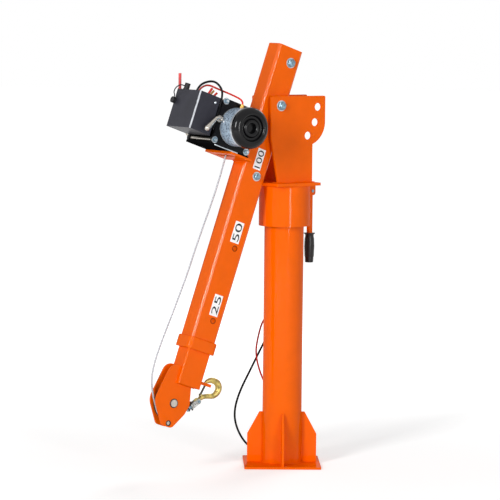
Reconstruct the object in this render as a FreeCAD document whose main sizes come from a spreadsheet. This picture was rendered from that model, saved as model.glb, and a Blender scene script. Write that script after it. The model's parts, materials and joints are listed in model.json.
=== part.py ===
import FreeCAD, Part
import math
import os
import re
from types import SimpleNamespace

import Sketcher

Vector = FreeCAD.Vector
Rotation = FreeCAD.Rotation
Placement = FreeCAD.Placement

os.makedirs("parts", exist_ok=True)
doc = FreeCAD.newDocument("pickup_crane")

# Every driving size, in millimetres and degrees. Heights are above the floor, and the boom's
# sizes run along it from its pivot: "front" is the side away from the post.
SIZES = {
    # base plate, gussets and post
    "plate_side": 210,
    "plate_thick": 6,
    "plate_corner": 4,
    "floor_bolt_hole": 14,
    "floor_bolt_spacing": 170,
    "post_dia": 108,
    "post_wall": 6,
    "post_top": 760,
    "post_cap_thick": 8,
    "gusset_thick": 6,
    "gusset_reach": 95.5,
    "gusset_top_reach": 62.5,
    "gusset_shoulder": 84,
    "gusset_top": 145,
    # swivel
    "thrust_thick": 4,
    "thrust_dia": 100,
    "thrust_bore": 24,
    "king_dia": 20,
    "king_top": 803,
    "running_gap": 0.1,
    "lift_gap": 0.2,
    "face_gap": 0.3,
    "washer_dia": 37,
    "washer_thick": 3,
    "nut_flats": 30,
    "nut_height": 16,
    "bolt_head_height": 12.5,
    # swivel head
    "head_yaw": 31.6,
    "sleeve_wall": 6,
    "sleeve_bottom": 660.4,
    "flange_side": 144,
    "flange_thick": 8,
    "flange_corner": 3,
    "bush_wall": 9.9,
    "bush_height": 30,
    "bush_inset": 4,
    "bush_drop": 10,
    "fork_thick": 6,
    "fork_gap": 82,
    "fork_front": 79,
    "fork_bend_front": 77,
    "fork_foot_front": 53.5,
    "fork_bend_drop": 88.6,
    "fork_top_rise": 25.9,
    "fork_foot_rear": 59,
    "fork_tail_drop_share": 0.7315,
    "fork_step_drop_share": 0.8719,
    "fork_tail_radius_share": 0.5419,
    "fork_corner": 5,
    "pivot_forward": 45.5,
    "pivot_rise": 210.5,
    "lock_radius": 121.8,
    "lock_rim": 23.6,
    "lock_hole_dia": 22,
    "lock_first_angle": 2.2,
    "lock_step_angle": 20.26,
    "rest_half_width": 20,
    # swivel handle
    "ear_thick": 5,
    "ear_gap": 17,
    "ear_margin": 9.5,
    "ear_height": 31,
    "ear_corner": 8,
    "ear_pin_drop": 19.1,
    "handle_clear": 14.5,
    "handle_pin_dia": 8,
    "handle_pin_half": 15.5,
    "handle_dia": 16,
    "handle_above_pin": 10,
    "handle_below_pin": 116,
    "grip_dia": 25,
    "grip_waist_dia": 23,
    "grip_collar_dia": 30,
    "grip_collar": 4,
    "grip_length": 82,
    "grip_end_round": 5,
    # outer boom
    "boom_hang": 19.3,
    "boom_width": 60,
    "boom_depth": 80,
    "boom_wall": 3,
    "boom_corner": 8,
    "boom_front": 50,
    "boom_top_margin": 40.2,
    "boom_below": 702,
    "collar_height": 30,
    "collar_wall": 6,
    "collar_corner": 13,
    "pivot_bolt_dia": 20,
    "pivot_tube_dia": 30,
    "pivot_tube_half": 40.7,
    "side_bolt_height": 10,
    "stop_bolt_dia": 16,
    "stop_bolt_flats": 24,
    "stop_bolt_drop": 203,
    "stop_spacing": 205,
    # winch
    "winch_front": 129,
    "winch_drop": 103,
    "bracket_thick": 6,
    "bracket_level": 170,
    "bracket_front": 122,
    "bracket_half_width": 66,
    "bracket_leg_half": 28,
    "bracket_leg_height": 60,
    "slot_half_length": 44,
    "slot_half_width": 7,
    "winch_base_front": 192,
    "winch_base_rear": 62,
    "end_plate_front": 190,
    "end_plate_rear": 68,
    "end_plate_top": 40,
    "end_plate_bottom": 165,
    "end_plate_thick": 8,
    "end_plate_gap": 108,
    "end_plate_corner": 12,
    "tie_rod_dia": 10,
    "tie_forward": 53,
    "tie_rise": 56,
    "tie_lower": 53,
    "tie_head_dia": 13,
    "tie_head_height": 6,
    "drum_core_dia": 61,
    "drum_flange_dia": 96,
    "drum_flange_thick": 4,
    "drum_shaft_dia": 16,
    "drum_shaft_reach": 6.2,
    "rope_dia": 5,
    "rope_pitch": 5.6,
    "rope_turns": 8,
    "motor_dia": 104,
    "motor_length": 62,
    "motor_band_thick": 1.5,
    "motor_band_width": 9,
    "cap_dia": 112,
    "cap_length": 23,
    "cap_chamfer": 4,
    "cap_round": 9,
    "cap_ring_dia": 72,
    "cap_hub_dia": 40,
    "cap_recess": 5,
    "gearbox_dia": 100,
    "gearbox_length": 84,
    "gearbox_step": 18,
    "gearbox_end_dia": 70,
    "box_front": 267,
    "box_rear": 197,
    "box_strap_width": 6,
    "box_top": 45,
    "box_bottom": 150,
    "box_lid_thick": 5,
    "box_round": 5,
    # clutch lever, leads and remote socket on the winch
    "lever_pin_dia": 6,
    "lever_pin_front": 187,
    "lever_pin_drop": 99,
    "lever_hub_dia": 10,
    "lever_hub_thick": 8,
    "lever_rod_dia": 5,
    "lever_ball_dia": 10,
    "lever_bend_front": 204,
    "lever_bend_drop": 101,
    "lever_tip_front": 225,
    "lever_tip_drop": 136,
    "terminal_dia": 12,
    "terminal_front": 136,
    "terminal_side": 72,
    "terminal_top": 42,
    "black_arch_front": 251,
    "black_arch_side": 15,
    "red_arch_front": 238,
    "red_arch_side": 4,
    "arch_span": 60,
    "motor_lead_dia": 6,
    "motor_red_dia": 5,
    "socket_dia": 15,
    "socket_rim_dia": 18,
    "socket_rim": 4,
    "socket_length": 20,
    "socket_side": 36,
    "socket_front": 253,
    "socket_cap_dia": 17,
    "socket_cap_thick": 9,
    "socket_cap_side": 54,
    "socket_cap_drop": 78,
    "strap_dia": 3,
    "strap_drop": 34,
    "strap_span": 60,
    "red_boot_dia": 8,
    "red_boot_collar_dia": 10,
    "red_boot_collar": 3,
    "red_boot_height": 42,
    "red_boot_front": 261.5,
    "red_boot_side": 54.5,
    # inner boom
    "slide_gap": 0.5,
    "inner_wall": 3,
    "inner_corner": 4.5,
    "inner_top": 173,
    "inner_bottom": 800.6,
    # pulley head
    "cheek_thick": 6,
    "cheek_gap": 22,
    "cheek_top": 753.8,
    "cheek_margin": 17.2,
    "sheave_front": 35.6,
    "sheave_drop": 856.3,
    "sheave_dia": 97,
    "sheave_width": 20,
    "sheave_groove_radius": 44,
    "sheave_lip": 3,
    "sheave_pin_dia": 20,
    "sheave_pin_proud": 2,
    "sheave_groove_half": 2.9,
    "sheave_edge": 1.5,
    "guard_front": 34.5,
    "guard_gap": 1.8,
    "guard_dia": 10,
    # hook and its parking lug
    "lug_side": 10,
    "lug_thick": 6,
    "lug_top": 777,
    "lug_height": 8,
    "lug_reach": 64,
    "hook_pin_rear": 46,
    "hook_pin_drop": 830,
    "hook_pin_dia": 7,
    "hook_eye_dia": 18,
    "hook_eye_width": 10,
    "hook_span": 60,
    "clevis_thick": 3,
    "clevis_barrel": 14,
    "clevis_barrel_dia": 14,
    "clevis_reach": 12,
    "clamp_dia": 11,
    "clamp_ridge_dia": 14,
    "clamp_length": 14,
    "clamp_ridge": 2.4,
    "latch_rear": 49,
    "latch_drop": 810,
    "latch_tip_rear": 54.5,
    "latch_tip_drop": 783.5,
    "latch_width": 8,
    "latch_thick": 1.6,
    "latch_barrel_dia": 4,
    "latch_pin_dia": 2,
    "latch_ear_thick": 1.7,
    "latch_ear_rear": 53,
    "latch_ear_drop": 818.5,
    # battery leads
    "black_lead_dia": 6,
    "red_lead_dia": 5,
    "grommet_dia": 30,
    "grommet_height": 426,
    "grommet_proud": 4,
    "grommet_bore": 20,
    "ring_dia": 16,
    "ring_hole": 8,
    "ring_thick": 1.6,
    "barrel_wall": 0.8,
    "barrel_length": 10,
    # corners nearer than this are one corner
    "join_gap": 0.0001,
    # how much of a cord's shorter run each bend takes up
    "bend_share": 0.45,
}

# Sizes that follow from the ones above, as formulas of the sheet
FORMULAS = {
    "sleeve_dia": "=post_dia + 2 * (running_gap + bush_wall + sleeve_wall)",
    "handle_out": "=sleeve_dia / 2 + handle_clear",
    "ear_reach": "=handle_out + ear_margin",
    "thrust_top": "=post_top + post_cap_thick + thrust_thick",
    "pivot_height": "=thrust_top + running_gap + flange_thick + pivot_rise",
    "fork_rear": "=lock_radius - pivot_forward + lock_rim",
    "fork_tail_drop": "=lock_radius * fork_tail_drop_share",
    "fork_step_drop": "=lock_radius * fork_step_drop_share",
    "fork_tail_radius": "=lock_radius * fork_tail_radius_share",
    "boom_above": "=lock_radius + boom_top_margin",
    "box_half_width": "=end_plate_gap / 2 + box_strap_width",
    "cheek_length": "=sheave_drop + sheave_dia / 2 + cheek_margin - cheek_top",
    "guard_drop": "=sheave_drop + sheave_dia / 2 + guard_gap + guard_dia / 2",
}
ALIASES = {**SIZES, **FORMULAS}

sheet = doc.addObject("Spreadsheet::Sheet", "Sizes")
for row, (alias, value) in enumerate(ALIASES.items(), start=1):
    sheet.set(f"A{row}", alias)
    sheet.set(f"B{row}", str(value))
    sheet.setAlias(f"B{row}", alias)
doc.recompute()
size = SimpleNamespace(**{alias: float(sheet.get(alias)) for alias in ALIASES})

X_AXIS = Vector(1, 0, 0)
Y_AXIS = Vector(0, 1, 0)
Z_AXIS = Vector(0, 0, 1)
QUARTER = 90
UPRIGHT = Rotation(X_AXIS, QUARTER)

post_radius = size.post_dia / 2
flange_bottom = size.thrust_top + size.running_gap
flange_top = flange_bottom + size.flange_thick
fork_inner = size.fork_gap / 2
fork_outer = fork_inner + size.fork_thick
boom_side = size.boom_width / 2
boom_rear = size.boom_depth - size.boom_front

base_frame = Placement()
head_frame = Placement(Vector(), Rotation(Z_AXIS, size.head_yaw))
pivot_point = Vector(-size.pivot_forward, 0, size.pivot_height)
boom_frame = head_frame.multiply(Placement(pivot_point, Rotation(Y_AXIS, size.boom_hang)))

nodes = {}


def keep(item, name):
    """Register a finished object as one node of the assembly."""
    item.Label = name
    nodes[name] = item
    return item


def tie(item, prop, rule):
    """Bind a property to the sheet. Words of the rule that are aliases are looked up there."""
    def lookup(found):
        word = found.group(0)
        return f"Sizes.{word}" if word in ALIASES else word

    item.setExpression(prop, re.sub(r"[a-z][a-z0-9_]*", lookup, rule))


def local(frame, x=0, y=0, z=0, turn=None):
    """A place given in a frame's own millimetres."""
    return frame.multiply(Placement(Vector(x, y, z), turn or Rotation()))


def new_sketch(body, name, role="XY_Plane", offset=None):
    """Add a sketch on one of the body's own origin planes."""
    sketch = body.newObject("Sketcher::SketchObject", name)
    plane = next(item for item in body.Origin.OriginFeatures if item.Role == role)
    sketch.AttachmentSupport = [(plane, "")]
    sketch.MapMode = "FlatFace"
    if offset is not None:
        sketch.AttachmentOffset = offset
    return sketch


def corner_parts(corners):
    """Turn corners (x, y) or (x, y, radius) into straight lines and tangent arcs."""
    count = len(corners)
    cuts = []
    for index, corner in enumerate(corners):
        here = Vector(corner[0], corner[1], 0)
        before = Vector(corners[index - 1][0], corners[index - 1][1], 0)
        following = corners[(index + 1) % count]
        after = Vector(following[0], following[1], 0)
        radius = corner[2] if len(corner) > 2 else 0
        if not radius:
            cuts.append((here, None, here))
            continue
        back = (before - here).normalize()
        ahead = (after - here).normalize()
        half = back.getAngle(ahead) / 2
        start = here + back * (radius / math.tan(half))
        end = here + ahead * (radius / math.tan(half))
        bisector = (back + ahead).normalize()
        centre = here + bisector * (radius / math.sin(half))
        middle = centre - bisector * radius
        cuts.append((start, middle, end))
    parts = []
    for index, (start, middle, end) in enumerate(cuts):
        if middle is not None:
            parts.append(Part.Arc(start, middle, end))
        upcoming = cuts[(index + 1) % count][0]
        if not upcoming.isEqual(end, size.join_gap):
            parts.append(Part.LineSegment(end, upcoming))
    return parts


def draw_corners(sketch, corners):
    """Draw a closed outline in a sketch."""
    for part in corner_parts(corners):
        sketch.addGeometry(part, False)


def draw_hole(sketch, x, y, rule, name):
    """Draw a circle whose diameter is bound to the sheet."""
    start = Part.Circle(Vector(x, y, 0), Z_AXIS, size.running_gap)
    index = sketch.addGeometry(start, False)
    number = sketch.addConstraint(Sketcher.Constraint("Diameter", index, size.running_gap * 2))
    sketch.renameConstraint(number, name)
    tie(sketch, f"Constraints.{name}", rule)


def plate(name, corners, rule, place, holes=(), windows=(), kept=True):
    """A flat plate: an outline with round holes and windows, padded to a bound thickness."""
    body = doc.addObject("PartDesign::Body", f"{name}_body")
    sketch = new_sketch(body, f"{name}_outline")
    draw_corners(sketch, corners)
    for window in windows:
        draw_corners(sketch, window)
    for number, (x, y, hole_rule) in enumerate(holes):
        draw_hole(sketch, x, y, hole_rule, f"hole_{number}")
    pad = body.newObject("PartDesign::Pad", f"{name}_pad")
    pad.Profile = sketch
    tie(pad, "Length", rule)
    body.Placement = place
    if kept:
        keep(body, name)
    return body


def turned(name, corners, place, kept=True):
    """A turned piece: a half section of (radius, height) corners spun about the body's Y axis."""
    body = doc.addObject("PartDesign::Body", f"{name}_body")
    sketch = new_sketch(body, f"{name}_section")
    draw_corners(sketch, corners)
    spin = body.newObject("PartDesign::Revolution", f"{name}_spin")
    spin.Profile = sketch
    spin.ReferenceAxis = (sketch, ["V_Axis"])
    body.Placement = place
    if kept:
        keep(body, name)
    return body


def cylinder(name, radius_rule, height_rule, place=None):
    """A plain cylinder with bound sizes, along its own Z axis."""
    item = doc.addObject("Part::Cylinder", name)
    tie(item, "Radius", radius_rule)
    tie(item, "Height", height_rule)
    if place is not None:
        item.Placement = place
    return item


def block(name, rules, place=None):
    """A plain box with three bound sizes."""
    item = doc.addObject("Part::Box", name)
    for prop, rule in zip(("Length", "Width", "Height"), rules):
        tie(item, prop, rule)
    if place is not None:
        item.Placement = place
    return item


def hexagon(name, flats_rule, height_rule, place=None):
    """A hexagon head or nut blank with bound sizes."""
    item = doc.addObject("Part::Prism", name)
    item.Polygon = 6
    tie(item, "Circumradius", f"{flats_rule} / sqrt(3)")
    tie(item, "Height", height_rule)
    if place is not None:
        item.Placement = place
    return item


def cut(name, base, tool, place=None):
    """One object less another."""
    item = doc.addObject("Part::Cut", f"{name}_cut")
    item.Base = base
    item.Tool = tool
    if place is not None:
        item.Placement = place
    return item


def fuse(name, items, place=None):
    """Several touching objects made one."""
    item = doc.addObject("Part::MultiFuse", f"{name}_fuse")
    item.Shapes = items
    if place is not None:
        item.Placement = place
    return item


def group(name, items, place=None):
    """Several separate solids of one kind, kept as one node."""
    item = doc.addObject("Part::Compound", f"{name}_set")
    item.Links = items
    if place is not None:
        item.Placement = place
    return item


def ring(name, outer_rule, inner_rule, height_rule, place=None):
    """A washer, bush or tube: one cylinder less another."""
    outside = cylinder(f"{name}_outside", outer_rule, height_rule)
    inside = cylinder(f"{name}_inside", inner_rule, height_rule)
    return cut(name, outside, inside, place)


def shaped(name, shape, place=None, kept=True):
    """A piece whose shape comes from Part's own functions, sized from the sheet in code."""
    item = doc.addObject("Part::Feature", f"{name}_shape")
    item.Shape = shape
    if place is not None:
        item.Placement = place
    if kept:
        keep(item, name)
    return item


def rounded_route(points, share):
    """Straight runs joined by tangent arcs, and the arcs' radii."""
    edges = []
    radii = []
    here = points[0]
    for before, corner, after in zip(points, points[1:], points[2:]):
        back = before - corner
        ahead = after - corner
        shorter = min(back.Length, ahead.Length)
        half_turn = (math.pi - back.getAngle(ahead)) / 2
        reach = shorter * share
        radius = reach / math.tan(half_turn)
        back.normalize()
        ahead.normalize()
        start = corner + back * reach
        end = corner + ahead * reach
        bisector = (back + ahead).normalize()
        middle = corner + bisector * (radius / math.cos(half_turn) - radius)
        edges.append(Part.makeLine(here, start))
        edges.append(Part.Arc(start, middle, end).toShape())
        radii.append(radius)
        here = end
    edges.append(Part.makeLine(here, points[-1]))
    return edges, radii


def cord(name, points, diameter, place, kept=True):
    """A cord as one unbroken tube along a rounded route."""
    edges, radii = rounded_route(points, size.bend_share)
    route = Part.Wire(edges)
    heading = points[1] - points[0]
    profile = Part.Wire([Part.makeCircle(diameter / 2, points[0], heading)])
    solid = route.makePipeShell([profile], True, False)
    if solid.Volume < 0:
        solid.reverse()
    listed = ", ".join(f"{radius:.0f}" for radius in radii)
    print(f"{name}: length {route.Length:.0f}, bend radii {listed}")
    return shaped(name, solid, place, kept)


def mirrored_pair(points):
    """The same points on both signs of x and y."""
    return [(sign_x * x, sign_y * y) for x, y in points for sign_x in (-1, 1) for sign_y in (-1, 1)]


def square_corners(half, radius):
    """A rounded square about the origin."""
    return [(-half, -half, radius), (half, -half, radius), (half, half, radius), (-half, half, radius)]


# Base plate with its four floor bolt holes
half_plate = size.plate_side / 2
hole_pitch = size.floor_bolt_spacing / 2
plate(
    "base_plate",
    square_corners(half_plate, size.plate_corner),
    "plate_thick",
    local(base_frame),
    [(x, y, "floor_bolt_hole") for x, y in mirrored_pair([(hole_pitch, hole_pitch)])],
)

# Four gussets, cut to fit round the post
gusset_corners = [
    (0, size.plate_thick),
    (size.gusset_reach, size.plate_thick),
    (size.gusset_reach, size.gusset_shoulder),
    (size.gusset_top_reach, size.gusset_top),
    (0, size.gusset_top),
]
gussets = []
for number in range(4):
    turn = Rotation(Z_AXIS, QUARTER * number)
    side = Placement(Vector(), turn).multiply(Placement(Vector(0, size.gusset_thick / 2, 0), UPRIGHT))
    gussets.append(plate(f"gusset_{number}", gusset_corners, "gusset_thick", side, kept=False))
post_room = cylinder("post_room", "post_dia / 2", "post_top")
keep(cut("base_gussets", group("gusset_plates", gussets), post_room), "base_gussets")

# Post, cap, thrust washer and king bolt
post_wall = ring("post", "post_dia / 2", "post_dia / 2 - post_wall", "post_top - plate_thick")
post_wall.Placement = local(base_frame, z=size.plate_thick)
lead_hole = cylinder("lead_hole", "grommet_bore / 2", "post_dia")
lead_hole.Placement = Placement(Vector(0, 0, size.grommet_height), Rotation(X_AXIS, -QUARTER))
keep(cut("post_tube", post_wall, lead_hole), "post_tube")
keep(
    cylinder("post_cap_disc", "post_dia / 2", "post_cap_thick", local(base_frame, z=size.post_top)),
    "post_cap",
)
cap_top = size.post_top + size.post_cap_thick
keep(
    ring("thrust", "thrust_dia / 2", "thrust_bore / 2", "thrust_thick", local(base_frame, z=cap_top)),
    "thrust_washer",
)
keep(
    cylinder("king", "king_dia / 2", "king_top - post_top - post_cap_thick", local(base_frame, z=cap_top)),
    "king_stud",
)
washer_bottom = flange_top + size.lift_gap
nut_bottom = washer_bottom + size.washer_thick
king_ring = ring("king_ring", "washer_dia / 2", "king_dia / 2", "washer_thick")
king_ring.Placement = local(base_frame, z=washer_bottom)
king_hex = hexagon("king_hex", "nut_flats", "nut_height")
king_hole = cylinder("king_hole", "king_dia / 2", "nut_height")
king_nut = cut("king_nut", king_hex, king_hole, local(base_frame, z=nut_bottom))
keep(group("king_nut", [king_ring, king_nut]), "king_nut")

# Cable grommet behind the post
grommet_disc = cylinder("grommet_disc", "grommet_dia / 2", "post_dia / 2 + grommet_proud")
grommet_disc.Placement = Placement(Vector(0, 0, size.grommet_height), Rotation(X_AXIS, -QUARTER))
grommet_plug = cylinder("grommet_plug", "grommet_bore / 2", "post_wall")
plug_start = post_radius - size.post_wall
grommet_plug.Placement = Placement(Vector(0, plug_start, size.grommet_height), Rotation(X_AXIS, -QUARTER))
grommet_rim = cut("grommet_rim", grommet_disc, cylinder("grommet_room", "post_dia / 2", "post_top"))
keep(fuse("grommet", [grommet_rim, grommet_plug]), "cable_grommet")

# Swivel sleeve, its two bushes and the flange
sleeve_bore = size.sleeve_dia / 2 - size.sleeve_wall
keep(
    ring(
        "sleeve",
        "sleeve_dia / 2",
        "sleeve_dia / 2 - sleeve_wall",
        "thrust_top + running_gap - sleeve_bottom",
        local(head_frame, z=size.sleeve_bottom),
    ),
    "head_sleeve",
)
bushes = []
for level in (size.sleeve_bottom + size.bush_inset, size.post_top - size.bush_height - size.bush_drop):
    bushes.append(
        ring(
            f"bush_{len(bushes)}",
            "sleeve_dia / 2 - sleeve_wall",
            "post_dia / 2 + running_gap",
            "bush_height",
            Placement(Vector(0, 0, level), Rotation()),
        )
    )
keep(group("sleeve_bush", bushes, local(head_frame)), "sleeve_bushes")

half_flange = size.flange_side / 2
plate(
    "head_flange",
    square_corners(half_flange, size.flange_corner),
    "flange_thick",
    local(head_frame, z=flange_bottom),
    [(0, 0, "king_dia + 2 * running_gap")],
)

# Fork plates with the pivot hole and the arc of three lock holes
fork_corners = [
    (-size.fork_front, size.pivot_height + size.fork_top_rise, size.fork_corner),
    (-size.fork_bend_front, size.pivot_height - size.fork_bend_drop),
    (-size.fork_foot_front, flange_top),
    (size.fork_foot_rear, flange_top),
    (size.fork_foot_rear, size.pivot_height - size.fork_step_drop),
    (size.fork_rear, size.pivot_height - size.fork_tail_drop, size.fork_tail_radius),
    (size.fork_rear, size.pivot_height + size.fork_top_rise, size.fork_corner),
]
fork_holes = [(-size.pivot_forward, size.pivot_height, "pivot_bolt_dia + 2 * running_gap")]
for number in range(3):
    angle = math.radians(size.lock_first_angle + size.lock_step_angle * number)
    hole_x = size.lock_radius * math.cos(angle) - size.pivot_forward
    hole_z = size.pivot_height - size.lock_radius * math.sin(angle)
    fork_holes.append((hole_x, hole_z, "lock_hole_dia"))
for name, level in (("fork_plate_near", -fork_inner), ("fork_plate_far", fork_outer)):
    plate(name, fork_corners, "fork_thick", local(head_frame, y=level, turn=UPRIGHT), fork_holes)

# Boom pivot bolt through both fork plates
bolt_turn = Rotation(X_AXIS, -QUARTER)
washer_outer = fork_outer + size.washer_thick
near_end = -washer_outer - size.bolt_head_height
shank = cylinder(
    "pivot_shank",
    "pivot_bolt_dia / 2",
    "fork_gap + 2 * fork_thick + 2 * washer_thick + bolt_head_height + nut_height + washer_thick",
)
pivot_hex = hexagon("pivot_hex", "nut_flats", "bolt_head_height")
keep(
    fuse(
        "pivot_bolt",
        [shank, pivot_hex],
        local(head_frame, -size.pivot_forward, near_end, size.pivot_height, bolt_turn),
    ),
    "pivot_bolt",
)
nut_parts = []
for label, level in (("near", -washer_outer), ("far", fork_outer)):
    washer = ring(f"pivot_washer_{label}", "washer_dia / 2", "pivot_bolt_dia / 2", "washer_thick")
    washer.Placement = Placement(Vector(0, level, 0), bolt_turn)
    nut_parts.append(washer)
nut_parts.append(
    cut(
        "pivot_nut",
        hexagon("pivot_nut_hex", "nut_flats", "nut_height"),
        cylinder("pivot_nut_hole", "pivot_bolt_dia / 2", "nut_height"),
        Placement(Vector(0, washer_outer, 0), bolt_turn),
    )
)
keep(
    group("pivot_nut", nut_parts, local(head_frame, -size.pivot_forward, 0, size.pivot_height)),
    "pivot_nut",
)

# Nose on the flange that the hanging boom rests against
hang = math.radians(size.boom_hang)


def boom_rear_x(height):
    """Where the hanging boom's rear face is, at a height, in the head frame."""
    rise = height - size.pivot_height
    return (boom_rear + rise * math.sin(hang)) / math.cos(hang) - size.pivot_forward


rest_corners = [
    (-half_flange, flange_bottom),
    (-half_flange, flange_top),
    (boom_rear_x(flange_top) + size.face_gap, flange_top),
    (boom_rear_x(flange_bottom) + size.face_gap, flange_bottom),
]
rest_place = local(head_frame, y=size.rest_half_width, turn=UPRIGHT)
plate("boom_rest", rest_corners, "2 * rest_half_width", rest_place)

# Handle ears welded to the sleeve and the flange
ear_corners = [
    (0, flange_bottom),
    (size.ear_reach, flange_bottom),
    (size.ear_reach, flange_bottom - size.ear_height, size.ear_corner),
    (0, flange_bottom - size.ear_height),
]
pin_height = flange_bottom - size.ear_pin_drop
ears = []
for number, level in enumerate((-size.ear_gap / 2, size.ear_gap / 2 + size.ear_thick)):
    ears.append(
        plate(
            f"ear_{number}",
            ear_corners,
            "ear_thick",
            Placement(Vector(0, level, 0), UPRIGHT),
            [(size.handle_out, pin_height, "handle_pin_dia")],
            kept=False,
        )
    )
ear_room = cylinder("ear_room", "sleeve_dia / 2", "post_top + sleeve_dia")
keep(cut("handle_bracket", group("handle_ears", ears), ear_room, local(head_frame)), "handle_bracket")
keep(
    cylinder(
        "handle_pin_rod",
        "handle_pin_dia / 2",
        "2 * handle_pin_half",
        local(head_frame, size.handle_out, -size.handle_pin_half, pin_height, bolt_turn),
    ),
    "handle_pin",
)

# Fold-out handle: bar and grip
bar_bottom = pin_height - size.handle_below_pin
bar = cylinder("bar_rod", "handle_dia / 2", "handle_above_pin + handle_below_pin")
bar_hole = cylinder("bar_hole", "handle_pin_dia / 2 + running_gap", "2 * handle_dia")
bar_hole.Placement = Placement(Vector(0, -size.handle_dia, size.handle_below_pin), bolt_turn)
keep(cut("handle_bar", bar, bar_hole, local(head_frame, size.handle_out, 0, bar_bottom)), "handle_bar")
grip_top = -size.grip_collar
grip_section = [
    (0, 0),
    (size.grip_collar_dia / 2, 0),
    (size.grip_collar_dia / 2, grip_top),
    (size.grip_waist_dia / 2, grip_top),
    (size.grip_dia / 2, -size.grip_length / 2, size.grip_length),
    (size.grip_waist_dia / 2, size.grip_end_round - size.grip_length),
    (size.grip_waist_dia / 2 - size.grip_end_round, -size.grip_length),
    (0, -size.grip_length),
]
turned("handle_grip", grip_section, local(head_frame, size.handle_out, 0, bar_bottom, UPRIGHT))


def frame_corners(front, rear, half_width, radius):
    """A rounded rectangle, from its front and rear distances and its half width."""
    return [
        (-front, -half_width, radius),
        (rear, -half_width, radius),
        (rear, half_width, radius),
        (-front, half_width, radius),
    ]


def cross_rod(name, radius_rule, length_rule, x, y, z):
    """A bound cylinder along Y, starting at y."""
    rod = cylinder(name, radius_rule, length_rule)
    rod.Placement = Placement(Vector(x, y, z), bolt_turn)
    return rod


# Outer boom: rectangular tube with pivot, lock and extension holes through both sides
boom_skin = frame_corners(size.boom_front, boom_rear, boom_side, size.boom_corner)
boom_bore = frame_corners(
    size.boom_front - size.boom_wall,
    boom_rear - size.boom_wall,
    boom_side - size.boom_wall,
    size.boom_corner - size.boom_wall,
)
boom_tube = plate(
    "boom_tube",
    boom_skin,
    "boom_above + boom_below",
    Placement(Vector(0, 0, -size.boom_below), Rotation()),
    windows=[boom_bore],
    kept=False,
)



def boom_hole(name, radius_rule, level):
    """A rod that cuts a hole through both sides of a boom."""
    return cross_rod(name, radius_rule, "2 * boom_width", 0, -size.boom_width, level)


holes = [
    boom_hole("pivot_tube_hole", "pivot_tube_dia / 2", 0),
    boom_hole("lock_hole", "pivot_bolt_dia / 2 + running_gap", size.lock_radius),
]
for number in range(3):
    level = -size.stop_bolt_drop - size.stop_spacing * number
    holes.append(boom_hole(f"stop_hole_{number}", "stop_bolt_dia / 2 + running_gap", level))
keep(cut("outer_boom", boom_tube, group("boom_holes", holes), boom_frame), "outer_boom")

collar_skin = frame_corners(
    size.boom_front + size.collar_wall,
    boom_rear + size.collar_wall,
    boom_side + size.collar_wall,
    size.collar_corner,
)
plate("boom_collar", collar_skin, "collar_height", local(boom_frame, z=-size.boom_below), windows=[boom_skin])
keep(
    ring(
        "pivot_sleeve",
        "pivot_tube_dia / 2",
        "pivot_bolt_dia / 2 + running_gap",
        "2 * pivot_tube_half",
        local(boom_frame, 0, -size.pivot_tube_half, 0, bolt_turn),
    ),
    "pivot_tube",
)

# Lock bolt in the boom's upper end
side_face = boom_side + size.side_bolt_height
lock_shank = cylinder("lock_shank", "pivot_bolt_dia / 2", "boom_width + 2 * side_bolt_height")
lock_hex = hexagon("lock_hex", "nut_flats", "side_bolt_height")
lock_nut = hexagon("lock_nut_hex", "nut_flats", "side_bolt_height")
lock_nut.Placement = Placement(Vector(0, 0, side_face + boom_side), Rotation())
lock_place = local(boom_frame, 0, -side_face, size.lock_radius, bolt_turn)
keep(fuse("lock_bolt", [lock_shank, lock_hex, lock_nut], lock_place), "lock_bolt")

# Extension bolt and nut: each ends just short of the inner boom, which slides between them
stub_rule = "side_bolt_height + boom_wall + slide_gap - face_gap"
stop_bolts = []
for name, turn, level in (
    ("extension_bolt", bolt_turn, -side_face),
    ("extension_nut", Rotation(X_AXIS, QUARTER), side_face),
):
    stub = cylinder(f"{name}_stub", "stop_bolt_dia / 2", stub_rule)
    head = hexagon(f"{name}_hex", "stop_bolt_flats", "side_bolt_height")
    stop_bolts.append(fuse(name, [stub, head], Placement(Vector(0, level, 0), turn)))
keep(group("extension_bolt", stop_bolts, local(boom_frame, z=-size.stop_bolt_drop)), "extension_bolts")

# Winch bracket: a slotted cross plate with a leg up the boom's front face
rope_front = size.winch_front - size.drum_core_dia / 2 - size.rope_dia / 2
slot = frame_corners(
    rope_front + size.slot_half_width,
    size.slot_half_width - rope_front,
    size.slot_half_length,
    size.slot_half_width - size.running_gap,
)
bracket_bottom = -size.bracket_level - size.bracket_thick
bracket_plate = plate(
    "bracket_plate",
    frame_corners(size.bracket_front, -size.boom_front, size.bracket_half_width, size.flange_corner),
    "bracket_thick",
    Placement(Vector(0, 0, bracket_bottom), Rotation()),
    windows=[slot],
    kept=False,
)
bracket_leg = block("bracket_leg", ("bracket_thick", "2 * bracket_leg_half", "bracket_leg_height"))
leg_front = -size.boom_front - size.bracket_thick
bracket_leg.Placement = Placement(Vector(leg_front, -size.bracket_leg_half, -size.bracket_level), Rotation())
keep(fuse("winch_bracket", [bracket_plate, bracket_leg], boom_frame), "winch_bracket")

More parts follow.
